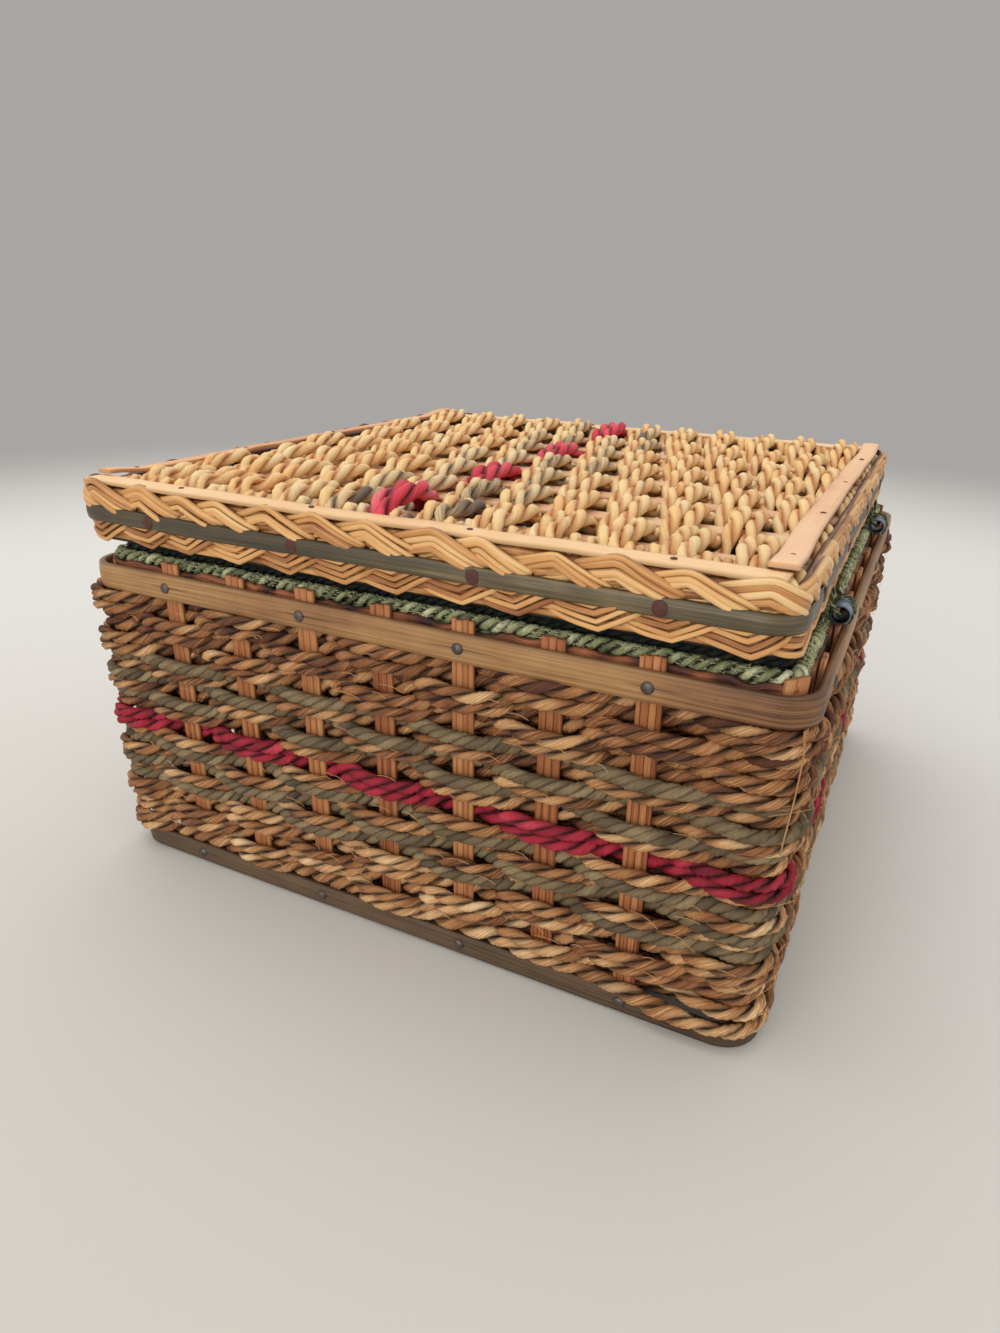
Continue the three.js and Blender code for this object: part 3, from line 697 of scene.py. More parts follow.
def stake_path(node, axis):
    """Down one wall, round a quarter circle, under the floor and up the far wall, in the plane of an
    axis."""
    low, high = span(node)
    level = low[2] + SPLINT_THICKNESS / 2
    start = level + STAKE_BEND

    def leg(side, top):
        """One wall's part from its top down, and the quarter circle below it."""
        z = np.linspace(top, start, LEG_POINTS)
        angle = np.linspace(0, np.pi / 2, BEND_POINTS)[1:]
        wall = wall_half(z[:, None])[:, axis] - STAKE_INSET
        foot = wall_half(start)[axis] - STAKE_INSET - STAKE_BEND * (1 - np.cos(angle))
        height = np.concatenate([z, start - STAKE_BEND * np.sin(angle)])
        return side * np.concatenate([wall, foot])[:, None] * AXES[axis] + height[:, None] * UP

    near, far = leg(-1, high[2]), leg(1, high[2] - (0 if axis else RIGHT_END_CUT))[::-1]
    floor = np.linspace(near[-1], far[0], FLOOR_POINTS)[1:-1]
    return np.concatenate([near, floor, far]) + middle(node) * AXES[1 - axis]


def stakes():
    """The stakes of both directions, and a post of two splints in each corner."""
    for kind, axis in (("front_back", 1), ("left_right", 0)):
        for index, count in enumerate(SPLINTS_OF_STAKE):
            node = f"{kind}_stake_{index + 1}"
            shape = Shape()
            splints(shape, stake_path(node, axis), np.cross(AXES[axis], UP), count, 300 + 20 * axis + index)
            shape.make(f"{kind}_splints_{index + 1}", SPLINT, "box", "stake_splint", node)
    for name, (side_x, side_y) in CORNERS.items():
        low, high = span(f"corner_post_{name}")
        z = np.linspace(high[2] - (LEFT_POST_CUT if side_x < 0 else 0), low[2], POST_POINTS)
        inset = STAKE_INSET + CORNER_TURN * (1 - np.sqrt(0.5)) + POST_SETBACK
        place = (wall_half(z[:, None]) - inset) * [side_x, side_y]
        facing = np.array([-side_y, side_x, 0.0]) / np.sqrt(2)
        shape = Shape()
        splints(shape, raised(place, z), facing, POST_SPLINTS, 340 + side_x + 2 * side_y)
        shape.make(f"corner_splints_{name}", SPLINT, "box", "stake_splint", f"corner_post_{name}")


# Laths and nails of the box

NAIL_STAKES = (0, 2, 4, 6)
NAIL_RADIUS = 1.55
NAIL_RISE = 0.8
NAIL_SINK = 0.08
NAIL_TILT = 0.05
LATH_STEP = 2.0
LATH_THICKNESS = 2.0
LATH_TRIM = 0.24
LATH_CROWN = 0.3
LATH_EDGE = 0.35
LATH_LEVEL_DRIFT = 0.12
LATH_TONE_DRIFT = (0.15, 40)
LATH_ENDS_GAP = 0.4
LAP_PLACE = 20.0
LEVEL_REACH = 45
RIM_TURN = 8.5
FOOT_TURN = 9.5
# Painted shade: the outer laths are darkened towards the front right corner, where less light falls.
CORNER_SHADE = 0.32
CORNER_SHADE_REACH = 40
SPLIT_DEPTH = 0.5
SPLIT_OFFSET = 1.5
SPLIT_REACH = 7
SPLIT_REACH_SPREAD = 3
INNER_THICKNESS = 1.4
INNER_TURN = 5.0
INNER_LEVEL_DRIFT = 0.3
INNER_FRAY_DRIFT = (0.8, 3)
INNER_WIDTH_DRIFT = (0.4, 11)
INNER_TONE_DRIFT = (0.6, 4.5)
INNER_TRIM = 1.2
INNER_CROWN = 0.1
INNER_SINK = 0.4


def band_path(node, inset, turn, drift, seed, gap=0.0):
    """The outline of a ring-shaped piece at a height, set in, drifting a little up and down. With a gap it
    is left open by that much near the middle of the back."""
    low, high = span(node)
    centre, half = (low + high)[:2] / 2, (high - low)[:2] / 2
    ring = Ring(half - inset, turn, centre)
    s = ring.steps(LATH_STEP)
    if gap:
        s = ring.side(2, 0, LAP_PLACE) + np.linspace(gap / 2, ring.length - gap / 2, len(s))
    place, _ = ring.at(s)
    height = (low[2] + high[2]) / 2 + wander(s, (drift, LEVEL_REACH), seed, 0 if gap else ring.length)
    return raised(place, height), ring, s


def split_depth(ring, s, places):
    """How deep a lath is cracked along its middle: a narrow bell about each nail of the front."""
    nails = ring.side(0, 0, places)
    at = np.mod(s, ring.length)
    reach = SPLIT_REACH + SPLIT_REACH_SPREAD * np.cos(7 * nails)
    return sum(SPLIT_DEPTH * hump(at, nail + SPLIT_OFFSET, each) for nail, each in zip(nails, reach))


def box_laths():
    """The outer laths of rim and foot, painted darker towards the near corner as painted shade, and cracked
    at their front nails. Also their nails, and the frayed lath inside the rim."""
    across, along = ([places[i] for i in NAIL_STAKES] for places in (FRONT_STAKES, SIDE_STAKES))
    heads = Shape()
    for name, node, slot, paint, turn, seed in (
            ("rim_lath", "rim_lath_outer", "rim_lath", RIM_WOOD, RIM_TURN, 21),
            ("foot_lath", "base_lath", "base_lath", BASE_WOOD, FOOT_TURN, 22)):
        low, high = span(node)
        path, ring, s = band_path(node, LATH_THICKNESS / 2, turn, LATH_LEVEL_DRIFT, seed, LATH_ENDS_GAP)
        # Painted shade, darker towards the front right corner.
        corner_shade = CORNER_SHADE * hump(np.mod(s, ring.length), ring.corner(1), CORNER_SHADE_REACH)
        shape = Shape()
        lath(shape, path, LATH_THICKNESS, high[2] - low[2] - LATH_TRIM,
             shade=0.5 + wander(s, LATH_TONE_DRIFT, seed) - corner_shade, crown=LATH_CROWN, soft=LATH_EDGE,
             split=split_depth(ring, s, across))
        shape.make(name, paint, "box", slot, node)
        half = (high - low)[:2] / 2 - NAIL_SINK
        nails_round(heads, (0, 0, (low[2] + high[2]) / 2), half, across, along, NAIL_RADIUS, NAIL_RISE,
                    NAIL_TILT)
    heads.make("box_nails", STEEL, "box", "hinge_steel")
    node = "rim_lath_inner"
    low, high = span(node)
    path, ring, s = band_path(node, INNER_THICKNESS / 2, INNER_TURN, INNER_LEVEL_DRIFT, 23)
    fray = wander(s, INNER_FRAY_DRIFT, 26, ring.length) + wander(s, INNER_WIDTH_DRIFT, 27, ring.length)
    path[:, 2] += fray / 2 - INNER_SINK
    shade = 0.5 + wander(s, INNER_TONE_DRIFT, 24, ring.length)
    shape = Shape()
    wide = high[2] - low[2] - INNER_TRIM + fray
    lath(shape, path, INNER_THICKNESS, wide, True, shade, INNER_CROWN)
    shape.make("inner_rim_lath", DARK_WOOD, "box", "inner_lath", node)


# Green collar

LEDGE_LEVELS = (0.13, 0.4, 0.66)
LEDGE_RADIUS = 1.8
LEDGE_OVERHANG = 1.2
LEDGE_TONE = 0.6
# Painted shade: the cords under the lid are painted near black, from green's darkest tone.
SHADED_LEVELS = (0.82, 0.93)
SHADED_RADIUS = 1.3
SHADED_SETBACK = 1.8
PAINTED_SHADE_TONE = -0.4
COLLAR_CLEARANCE = 0.2
COLLAR_TURN = 3.5
COLLAR_STEP = 0.9
COLLAR_PITCH = 6.4
COLLAR_SIDES = 8
COLLAR_DRIFT = (0.35, 5)
FUZZ_COUNT = 4200
FUZZ_LEAN = (-0.4, 1.6)
FUZZ_DRIFT = 1.8
FUZZ_ROOT = 0.8
FUZZ_REACH = (0.2, 0.85)
FUZZ_THICKNESS = 0.3
FUZZ_TIP = 0.1
FUZZ_TONE = (0.4, 1.3)
FUZZ_REFERENCE = (0.3, 0.2, 1.0)
LINING_ROUNDS = 7
LINING_INSET = 1.1
LINING_TURN = 5.0
LINING_STEP = 1.7
LINING_THICKNESS = 1.9
LINING_WIDTH = 3.45
LINING_TONE = 0.3
LINING_LEVEL_DRIFT = (0.2, 15)
LINING_TONE_DRIFT = (0.3, 7)


def fuzz_of(cord_ring, radius, level, draw):
    """Short hairs that stand off a cord at random places and angles, each tapering to a thin tip."""
    fuzz = Shape()
    t = np.linspace(0, 1, 4)
    for _ in range(FUZZ_COUNT):
        at, lean = draw.uniform(0, cord_ring.length), draw.uniform(*FUZZ_LEAN)
        spot, away = cord_ring.at(at + draw.uniform(-FUZZ_DRIFT, FUZZ_DRIFT) * t)
        reach = radius * FUZZ_ROOT + draw.uniform(*FUZZ_REACH) * t
        hair = raised(spot + away * (reach * np.cos(lean))[:, None], level + reach * np.sin(lean))
        thick = FUZZ_THICKNESS * (1 + FUZZ_TIP - t)
        tube(fuzz, hair, thick, thick, shade=draw.uniform(*FUZZ_TONE), sides=3, reference=FUZZ_REFERENCE)
    return fuzz


def collar():
    """Fuzzy green cords wound round inside the rim, at shares of the ledge's height. Those that come under
    the lid are thinner, set back and painted near black as painted shade, and the one below them bulges
    out over the rim. Inside them lies a lining of flat rounds."""
    low, high = span("collar_ledge")
    ledge = Shape()
    for index, share in enumerate(LEDGE_LEVELS + SHADED_LEVELS):
        shaded = share in SHADED_LEVELS
        radius = SHADED_RADIUS if shaded else LEDGE_RADIUS
        outward = -SHADED_SETBACK if shaded else LEDGE_OVERHANG * (share == LEDGE_LEVELS[-1])
        ring = Ring((high - low)[:2] / 2 - radius - COLLAR_CLEARANCE + outward, COLLAR_TURN)
        s = ring.steps(COLLAR_STEP)
        place, out = ring.at(s)
        drift = wander(s, COLLAR_DRIFT, 61 + index, ring.length)
        path = raised(place + out * drift[:, None], low[2] + share * (high[2] - low[2]) + drift)
        # Painted shade for the cords under the lid.
        colour = PAINTED_SHADE_TONE if shaded else LEDGE_TONE
        twist(ledge, path, radius, COLLAR_PITCH, True, 61 + 3 * index, colour, COLLAR_SIDES)
        if share == LEDGE_LEVELS[-1]:
            fuzz = fuzz_of(ring, radius, path[0, 2], np.random.default_rng(64))
    ledge.make("collar_cords", GREEN, "box", "green_cord", "collar_ledge")
    fuzz.make("collar_fuzz", GREEN, "box", "green_cord", "collar_ledge")
    low, high = span("collar_band")
    ring = Ring((high - low)[:2] / 2 - LINING_INSET, LINING_TURN)
    s = ring.steps(LINING_STEP)
    place, _ = ring.at(s)
    lining = Shape()
    for index in range(LINING_ROUNDS):
        level = low[2] + (index + 0.5) * (high[2] - low[2]) / LINING_ROUNDS
        path = raised(place, level + wander(s, LINING_LEVEL_DRIFT, 75 + index, ring.length))
        shade = LINING_TONE + wander(s, LINING_TONE_DRIFT, 85 + index, ring.length)
        tube(lining, path, LINING_THICKNESS, LINING_WIDTH, True, shade)
    lining.make("collar_lining", GREEN, "box", "green_cord", "collar_band")


# Floor

FLOOR_TURN = 9.0
FLOOR_PITCH = 3.15
FLOOR_STEP = 2.6
FLOOR_MARGIN = 0.6
FLOOR_WAVE = 0.35
FLOOR_WAVE_REACH = 23.75
FLOOR_CORD_RADIUS = 1.3
FLOOR_CORD_PITCH = 13.0
FLOOR_CORD_TONE = 0.45
FLOOR_CORD_SIDES = 6


def floor():
    """Cords side by side from left to right, cut to the panel's round corners, each waving up and down by
    a cosine against its neighbours."""
    low, high = span("floor_weave")
    half = (high - low)[:2] / 2
    count = int(2 * half[1] / FLOOR_PITCH)
    shape = Shape()
    for index in range(count):
        y = (index - (count - 1) / 2) * FLOOR_PITCH
        inside = max(0.0, abs(y) - (half[1] - FLOOR_TURN))
        reach = half[0] - FLOOR_TURN + np.sqrt(max(0.0, FLOOR_TURN**2 - inside**2)) - FLOOR_MARGIN
        x = np.arange(-reach, reach, FLOOR_STEP)
        lift = FLOOR_WAVE * np.cos(np.pi * (x / FLOOR_WAVE_REACH + index))
        path = np.stack([x, np.full_like(x, y), (low[2] + high[2]) / 2 + lift], -1)
        twist(shape, path, FLOOR_CORD_RADIUS, FLOOR_CORD_PITCH, False, 500 + 5 * index, FLOOR_CORD_TONE,
              FLOOR_CORD_SIDES)
    shape.make("floor_cords", STRAW, "box", "straw_cord", "floor_weave")


# Lid

COLUMNS = 25
COLUMN_PITCH = 7.6
COLUMN_SPLIT = 1.9
COLUMN_DRIFT = (0.4, 17)
COLUMN_ENDS = 0.3
COLUMN_PINCH = 0.3
PINCH_REACH = 0.35
RED_COLUMN = 11
OLIVE_COLUMNS = (8, 9, 10, 12, 13, 14)
LATHS = 7
LID_SWING_UP = 3.8
LID_SWING_DOWN = 2.1
LID_FLATNESS = 1.5
LID_LEVEL_DRIFT = (0.25, 13)
LID_MARGINS = (2.6, 1.6)
BOUND_LEVEL = 115.1
BOUND_FROM = 6
BOUND_TO = 14
BOUND_COLUMN_LEVEL = 115.5
END_HUMP = (2.6, 3.2)
END_HUMP_PLACE = 9.8
BACK_RISE = 1.1
BACK_RISE_FROM = 45.0
BACK_RISE_TO = 80.0
RED_LOOP_HUMP = (3.6, 8)
RED_LOOP_LEAN_HUMP = (2.2, 10)
LID_CORD_RADIUS = 2.2
LID_RED_RADIUS = 2.35
LID_CORD_PITCH = 18.5
LID_RED_PITCH = 20.0
LID_PLY_BREADTH = 0.66
FADED_TONE = 0.58
FADED_TONE_DRIFT = (0.55, 24)


def lid_cord(column, side, seed):
    """Middle of one cord of a lid column: from front to back, over one lath and under the next by a
    flattened cosine, and level under the frame laths."""
    first, second, last = (middle(f"lid_lath_{i}") for i in (1, 2, LATHS))
    pitch, level = second[1] - first[1], first[2]
    low, high = span("lid_weave_left")
    y = np.linspace(low[1] + COLUMN_ENDS, high[1] - COLUMN_ENDS, round((high[1] - low[1]) / CORD_STEP))
    phase = np.pi * ((y - first[1]) / pitch + column + 1)
    wave = flattened(phase, LID_FLATNESS)
    wave = np.where(wave > 0, LID_SWING_UP, LID_SWING_DOWN) * wave
    beside, last_lath = np.abs(y - LID[1]), last[1] - LID[1]
    ends = ease_between(beside, last_lath + BOUND_FROM, last_lath + BOUND_TO)
    height = level + wave * (1 - ends) + (BOUND_LEVEL - level) * ends
    height = height + END_HUMP[0] * hump(beside, last_lath + END_HUMP_PLACE, END_HUMP[1])
    height = height + BACK_RISE * ease_between(y, BACK_RISE_FROM, BACK_RISE_TO) * (1 - ends)
    x = middle("lid_weave_red_column")[0] + (column - RED_COLUMN) * COLUMN_PITCH + side * COLUMN_SPLIT
    x = x + wander(y, COLUMN_DRIFT, seed) + COLUMN_PINCH * side * hump(np.cos(phase), 1, PINCH_REACH)
    if column == RED_COLUMN:
        height = height + RED_LOOP_HUMP[0] * hump(y, first[1], RED_LOOP_HUMP[1])
        x = x + RED_LOOP_LEAN_HUMP[0] * hump(y, first[1], RED_LOOP_LEAN_HUMP[1])
    if column == COLUMNS - 1:
        height = np.minimum(height, BOUND_COLUMN_LEVEL)
    return np.stack([x, y, height + wander(y, LID_LEVEL_DRIFT, seed + 2)], -1)


def lid_weave():
    """Two cords for each column, counted from the left. The right one of an olive column is olive, and
    fades to straw in places."""
    left_end, right_end = span("lid_weave_left")[0][0], span("lid_weave_right")[1][0]
    for column in range(COLUMNS):
        node = "lid_weave_left" if column < RED_COLUMN else "lid_weave_right"
        for side, word in ((-1, "left"), (1, "right")):
            seed = 5000 + 30 * column + 3 * side
            path = lid_cord(column, side, seed)
            path[:, 0] = np.clip(path[:, 0], left_end + LID_MARGINS[0], right_end - LID_MARGINS[1])
            shape = Shape()
            cord = (shape, path, LID_CORD_RADIUS, LID_CORD_PITCH, False, seed)
            if column == RED_COLUMN:
                twist(shape, path, LID_RED_RADIUS, LID_RED_PITCH, False, seed)
                shape.make(f"lid_red_cord_{word}", LID_RED, "lid", "red_cord", "lid_weave_red_column")
            elif column in OLIVE_COLUMNS and side > 0:
                faded = FADED_TONE + wander(path[:, 1], FADED_TONE_DRIFT, seed + 9)
                twist(*cord, faded, breadth=LID_PLY_BREADTH)
                shape.make(f"lid_olive_cord_{column + 1:02d}", LID_OLIVE, "lid", "olive_cord", node)
            else:
                twist(*cord, breadth=LID_PLY_BREADTH)
                shape.make(f"lid_cord_{column + 1:02d}_{word}", LID_STRAW, "lid", "lid_cord", node)


LID_LATH_THICKNESS = 1.2
CROSS_LATH_WIDTH = 7.5
CROSS_LATH_POINTS = 60
CROSS_LATH_CROWN = 0.1
CROSS_LATH_EDGE = 0.25
CROSS_LATH_DRIFT = (0.3, 60)
CROSS_LATH_TONE_DRIFT = (0.2, 40)


def lid_laths():
    """Straight flat laths from left to right, which the lid's cords go over and under."""
    for index in range(LATHS):
        node = f"lid_lath_{index + 1}"
        low, high = span(node)
        x = np.linspace(low[0], high[0], CROSS_LATH_POINTS)
        y = middle(node)[1] + wander(x, CROSS_LATH_DRIFT, 80 + index)
        shape = Shape()
        path = np.stack([x, y, np.full_like(x, middle(node)[2])], -1)
        shade = 0.5 + wander(x, CROSS_LATH_TONE_DRIFT, 90 + index)
        lath(shape, path, LID_LATH_THICKNESS, CROSS_LATH_WIDTH, False, shade, CROSS_LATH_CROWN,
             CROSS_LATH_EDGE, reference=BACKWARD)
        shape.make(f"cross_lath_{index + 1}", PINK_WOOD, "lid", "lid_lath", node)


FRAME_NAILS = ((-66.0, -23.0, 21.5, 69.0), (-85.0, -38.0, 11.0, 62.0))
FRAME_NAIL_RADIUS = 0.8
FRAME_NAIL_RISE = 0.25
FRAME_NAIL_LEVEL = 0.3
FRAME_TRIM = {"front": 0.8, "back": 0.8, "left": 2.4, "right": 0.6}
FRAME_POINTS = 110
FRAME_CROWN = 0.12
FRAME_LIFT = 0.25
FRAME_ASIDE_DRIFT = (0.45, 45)
FRAME_LEVEL_DRIFT = (0.22, 16)
FRAME_WIDTH_DRIFT = (0.05, 50)
FRAME_TONE_DRIFT = (0.2, 35)
SIDE_LATH_START = 6.5
SIDE_LATH_DIP = 1.0
SIDE_LATH_DIP_FROM = 80.0
SIDE_LATH_DIP_TO = 96.0


def frame_laths():
    """Nailed laths round the top of the lid. Those on the left and right lie over the other two at their
    ends, and dip between them."""
    heads = Shape()
    for name, paint in (("front", PALE_WOOD), ("back", PALE_WOOD), ("left", TAN_WOOD), ("right", PINK_WOOD)):
        node, seed, trim = f"frame_lath_{name}", 101 + len(name), FRAME_TRIM[name]
        low, high = span(node)
        size, centre = high - low, middle(node)
        long_axis = int(size[1] > size[0])
        aside = 1 - long_axis
        start = low[long_axis] + (SIDE_LATH_START if long_axis else 0)
        t = np.linspace(start, high[long_axis], FRAME_POINTS)
        path = np.tile(centre, (len(t), 1))
        path[:, long_axis] = t
        path[:, aside] += wander(t, FRAME_ASIDE_DRIFT, seed)
        path[:, 2] += FRAME_LIFT + wander(t, FRAME_LEVEL_DRIFT, seed + 1)
        wide = size[aside] * (1 + wander(t, FRAME_WIDTH_DRIFT, seed + 2)) - trim
        path[:, aside] += np.sign(centre[aside]) * trim / 2
        if long_axis:
            middle_share = 1 - ease_between(np.abs(t - centre[1]), SIDE_LATH_DIP_FROM, SIDE_LATH_DIP_TO)
            path[:, 2] -= SIDE_LATH_DIP * middle_share
        shape = Shape()
        shade = 0.5 + wander(t, FRAME_TONE_DRIFT, 104)
        lath(shape, path, LID_LATH_THICKNESS, wide, False, shade, FRAME_CROWN,
             reference=-RIGHT if long_axis else BACKWARD)
        shape.make(f"lid_frame_lath_{name}", paint, "lid", "frame_lath", node)
        for place in FRAME_NAILS[long_axis]:
            at = centre.copy()
            at[long_axis] = place
            at[0] = path[0, 0] if long_axis else at[0]
            at[2] = high[2] + (FRAME_NAIL_LEVEL - SIDE_LATH_DIP if long_axis else FRAME_NAIL_LEVEL)
            dome(heads, at, UP, FRAME_NAIL_RADIUS, FRAME_NAIL_RISE)
    heads.make("frame_nails", RUST, "lid", "hinge_steel")


# Skirt of the lid: a plaited border, a smooth strip and a second border of nested chevrons. The points of
# a strand are its length along the skirt, its height and how far it lies outward.

ARCH = np.array([
    (-9.0, 110.8, -2.9), (-4.0, 112.3, -2.6), (0.0, 113.6, -2.2), (4.0, 114.9, -1.6), (7.4, 115.9, -1.1),
    (8.3, 116.0, -1.0), (9.2, 115.8, -0.9), (13.0, 114.0, -0.7), (17.0, 112.1, -0.9), (20.5, 110.2, -2.2)])
ARCH_STEP = 1.0
ARCH_PITCH = 15.2
ARCH_PITCH_SPREAD = 0.14
ARCH_STRETCH = (0.92, 1.12)
ARCH_MIDDLE = 113.4
ARCH_HEIGHT = (0.9, 1.1)
ARCH_STRAND = 1.75
ARCH_STRAND_SPACE = 0.9
ARCH_WIDTH = (0.75, 1.2)
ARCH_WIDTH_DRIFT = (0.12, 9)
ARCH_ASIDE = 0.25
ARCH_ASIDE_DRIFT = (0.3, 9)
ARCH_DEPTH = (-0.4, 0.3)
ARCH_DEPTH_STEP = 0.15
ARCH_SQUEEZE = 0.85
FULL_ARCH_SHARE = 0.7
ARCH_TONE = 0.46
ARCH_TONE_SPREAD = (-0.28, 0.35)
CHEVRON = np.array([
    (-12.0, 103.9, -3.0), (-8.5, 103.2, -2.3), (-4.5, 102.6, -1.8), (-0.8, 102.15, -1.5),
    (0.0, 102.05, -1.4), (0.8, 102.4, -1.4), (4.0, 104.2, -1.2), (7.0, 105.9, -1.4), (10.0, 107.5, -2.6)])
CHEVRON_STEP = 1.1
CHEVRON_PITCH = 16.4
CHEVRON_PITCH_SPREAD = 0.1
CHEVRON_STRANDS = 4
CHEVRON_STRAND = 1.5
CHEVRON_STRAND_SPACE = 1.03
CHEVRON_SHIFT = 0.55
CHEVRON_WIDTH = (0.8, 1.0)
CHEVRON_LEVEL = 0.12
CHEVRON_LEVEL_DRIFT = (0.22, 6)
CHEVRON_DEPTH = 0.3
CHEVRON_TOP = 109.5
# Painted shade: the chevrons are painted darker than the arches, for the lower border lying deeper in shade.
CHEVRON_TONE = 0.3
CHEVRON_TONE_SPREAD = (-0.25, 0.3)
# Painted shade: the core reeds behind both borders are painted dark.
CORE_STEP = 2.0
CORE_LEVEL_DRIFT = (0.3, 12)
CORE_TONE_DRIFT = (0.3, 9)
UPPER_CORE_LEVELS = (112.4, 114.2, 115.8)
UPPER_CORE_SETBACK = 2.9
UPPER_CORE_WIDTH = 2.1
UPPER_CORE_TONE = 0.1
LOWER_CORE_LEVELS = (103.1, 104.7, 106.3)
LOWER_CORE_SETBACK = 2.8
LOWER_CORE_WIDTH = 1.9
LOWER_CORE_TONE = 0.2
REED_SIDES = 10
REED_FLATNESS = 0.95
# Painted shade on a reed: its sides and back are darkened, its outer face left clear.
REED_CLEAR = 0.3
REED_CLEAR_SWING = 1.1


def skirt_line(ring, start, points):
    """Points given as length along the skirt, height and outward distance, put on the ring."""
    place, out = ring.at(start + points[:, 0])
    return raised(place + out * points[:, 2:], points[:, 1])


def reed(shape, path, wide, shade, closed=False):
    """A split reed of nearly round section. Its sides, where it lies against its neighbours, are in a
    groove, and they and its back get painted shade."""
    clear = np.clip(REED_CLEAR + REED_CLEAR_SWING * np.cos(full_turn(REED_SIDES)), 0, 1)
    tube(shape, path, wide * REED_FLATNESS, wide, closed, shade, REED_SIDES, clear=clear)


def core_reeds(shape, ring, levels, setback, wide, shade, seed):
    """Reeds that go all the way round behind a border, so that no light comes through it."""
    s = ring.steps(CORE_STEP)
    place, out = ring.at(s)
    for index, level in enumerate(levels):
        path = raised(place - out * setback, level + wander(s, CORE_LEVEL_DRIFT, seed + index, ring.length))
        # Painted shade: the low tone darkens the reeds that lie behind the border.
        tint = shade + wander(s, CORE_TONE_DRIFT, seed + 5 + index, ring.length)
        reed(shape, path, wide, tint, True)


def upper_border(ring, draw):
    """Bundles of reeds that rise, run level and plunge behind the strip, each over the start of the next."""
    shape = Shape()
    count = round(ring.length / ARCH_PITCH)
    for index in range(count):
        start = (index + ARCH_PITCH_SPREAD * draw.uniform(-1, 1)) * ring.length / count
        strands = 4 if draw.random() < FULL_ARCH_SHARE else 3
        stretch = draw.uniform(*ARCH_STRETCH)
        for strand in range(strands):
            line = smooth(ARCH * (stretch, 1, 1), ARCH_STEP)
            seed = 910 + 9 * index + strand
            slope = np.gradient(line[:, :2], axis=0)
            slope /= np.linalg.norm(slope, axis=1, keepdims=True)
            off = (strand - (strands - 1) / 2) * ARCH_STRAND * ARCH_STRAND_SPACE
            off = off + draw.uniform(-ARCH_ASIDE, ARCH_ASIDE)
            off = off + wander(line[:, 0], ARCH_ASIDE_DRIFT, seed)
            line[:, 0] += slope[:, 1] * off
            line[:, 1] -= slope[:, 0] * off * ARCH_SQUEEZE
            line[:, 2] += draw.uniform(*ARCH_DEPTH) - ARCH_DEPTH_STEP * abs(strand - 1)
            wide = ARCH_STRAND * (1 + wander(line[:, 0], ARCH_WIDTH_DRIFT, seed + 20))
            line[:, 1] = ARCH_MIDDLE + (line[:, 1] - ARCH_MIDDLE) * draw.uniform(*ARCH_HEIGHT)
            wide = wide * draw.uniform(*ARCH_WIDTH)
            shade = ARCH_TONE + draw.uniform(*ARCH_TONE_SPREAD)
            reed(shape, skirt_line(ring, start, line), wide, shade)
    core_reeds(shape, ring, UPPER_CORE_LEVELS, UPPER_CORE_SETBACK, UPPER_CORE_WIDTH, UPPER_CORE_TONE, 950)
    shape.make("upper_border_reeds", REED, "lid", "border_reed", "skirt_upper_braid")


def lower_border(ring, draw):
    """Nested chevrons of reeds side by side, each over the start of the next."""
    shape = Shape()
    count = round(ring.length / CHEVRON_PITCH)
    for index in range(count):
        start = (index + 0.5 + CHEVRON_PITCH_SPREAD * draw.uniform(-1, 1)) * ring.length / count
        for strand in range(CHEVRON_STRANDS):
            line = smooth(CHEVRON, CHEVRON_STEP)
            line[:, 0] -= CHEVRON_SHIFT * strand
            nested = CHEVRON_STRAND * CHEVRON_STRAND_SPACE * strand
            line[:, 1] += nested + draw.uniform(-CHEVRON_LEVEL, CHEVRON_LEVEL)
            line[:, 1] += wander(line[:, 0], CHEVRON_LEVEL_DRIFT, 970 + 9 * index + strand)
            line[:, 2] += draw.uniform(-CHEVRON_DEPTH, CHEVRON_DEPTH)
            line = line[line[:, 1] < CHEVRON_TOP]
            wide = CHEVRON_STRAND * draw.uniform(*CHEVRON_WIDTH)
            shade = CHEVRON_TONE + draw.uniform(*CHEVRON_TONE_SPREAD)
            reed(shape, skirt_line(ring, start, line), wide, shade)
    core_reeds(shape, ring, LOWER_CORE_LEVELS, LOWER_CORE_SETBACK, LOWER_CORE_WIDTH, LOWER_CORE_TONE, 960)
    shape.make("lower_border_reeds", REED, "lid", "border_reed", "skirt_lower_braid")


STRIP_THICKNESS = 1.9
STRIP_WIDTH = 4.4
STRIP_LEVEL_DRIFT = 0.25
STRIP_WIDTH_DRIFT = (0.2, 30)
STRIP_TONE_DRIFT = (0.3, 26)
STRIP_CROWN = 0.5
SKIRT_NAILS_ACROSS = (-74.7, -26.3, 24.8, 68.4)
SKIRT_NAILS_ALONG = (-76.0, -27.0, 24.0, 74.0)
SKIRT_NAIL_RADIUS = 1.85
SKIRT_NAIL_RISE = 0.4
SKIRT_NAIL_SINK = 0.1
SKIRT_LINING_THICKNESS = 1.2
SKIRT_LINING_TURN = 5.2
SKIRT_LINING_CROWN = 0.05
SKIRT_LINING_EDGE = 0.2
SKIRT_LINING_TONE_DRIFT = (0.2, 20)


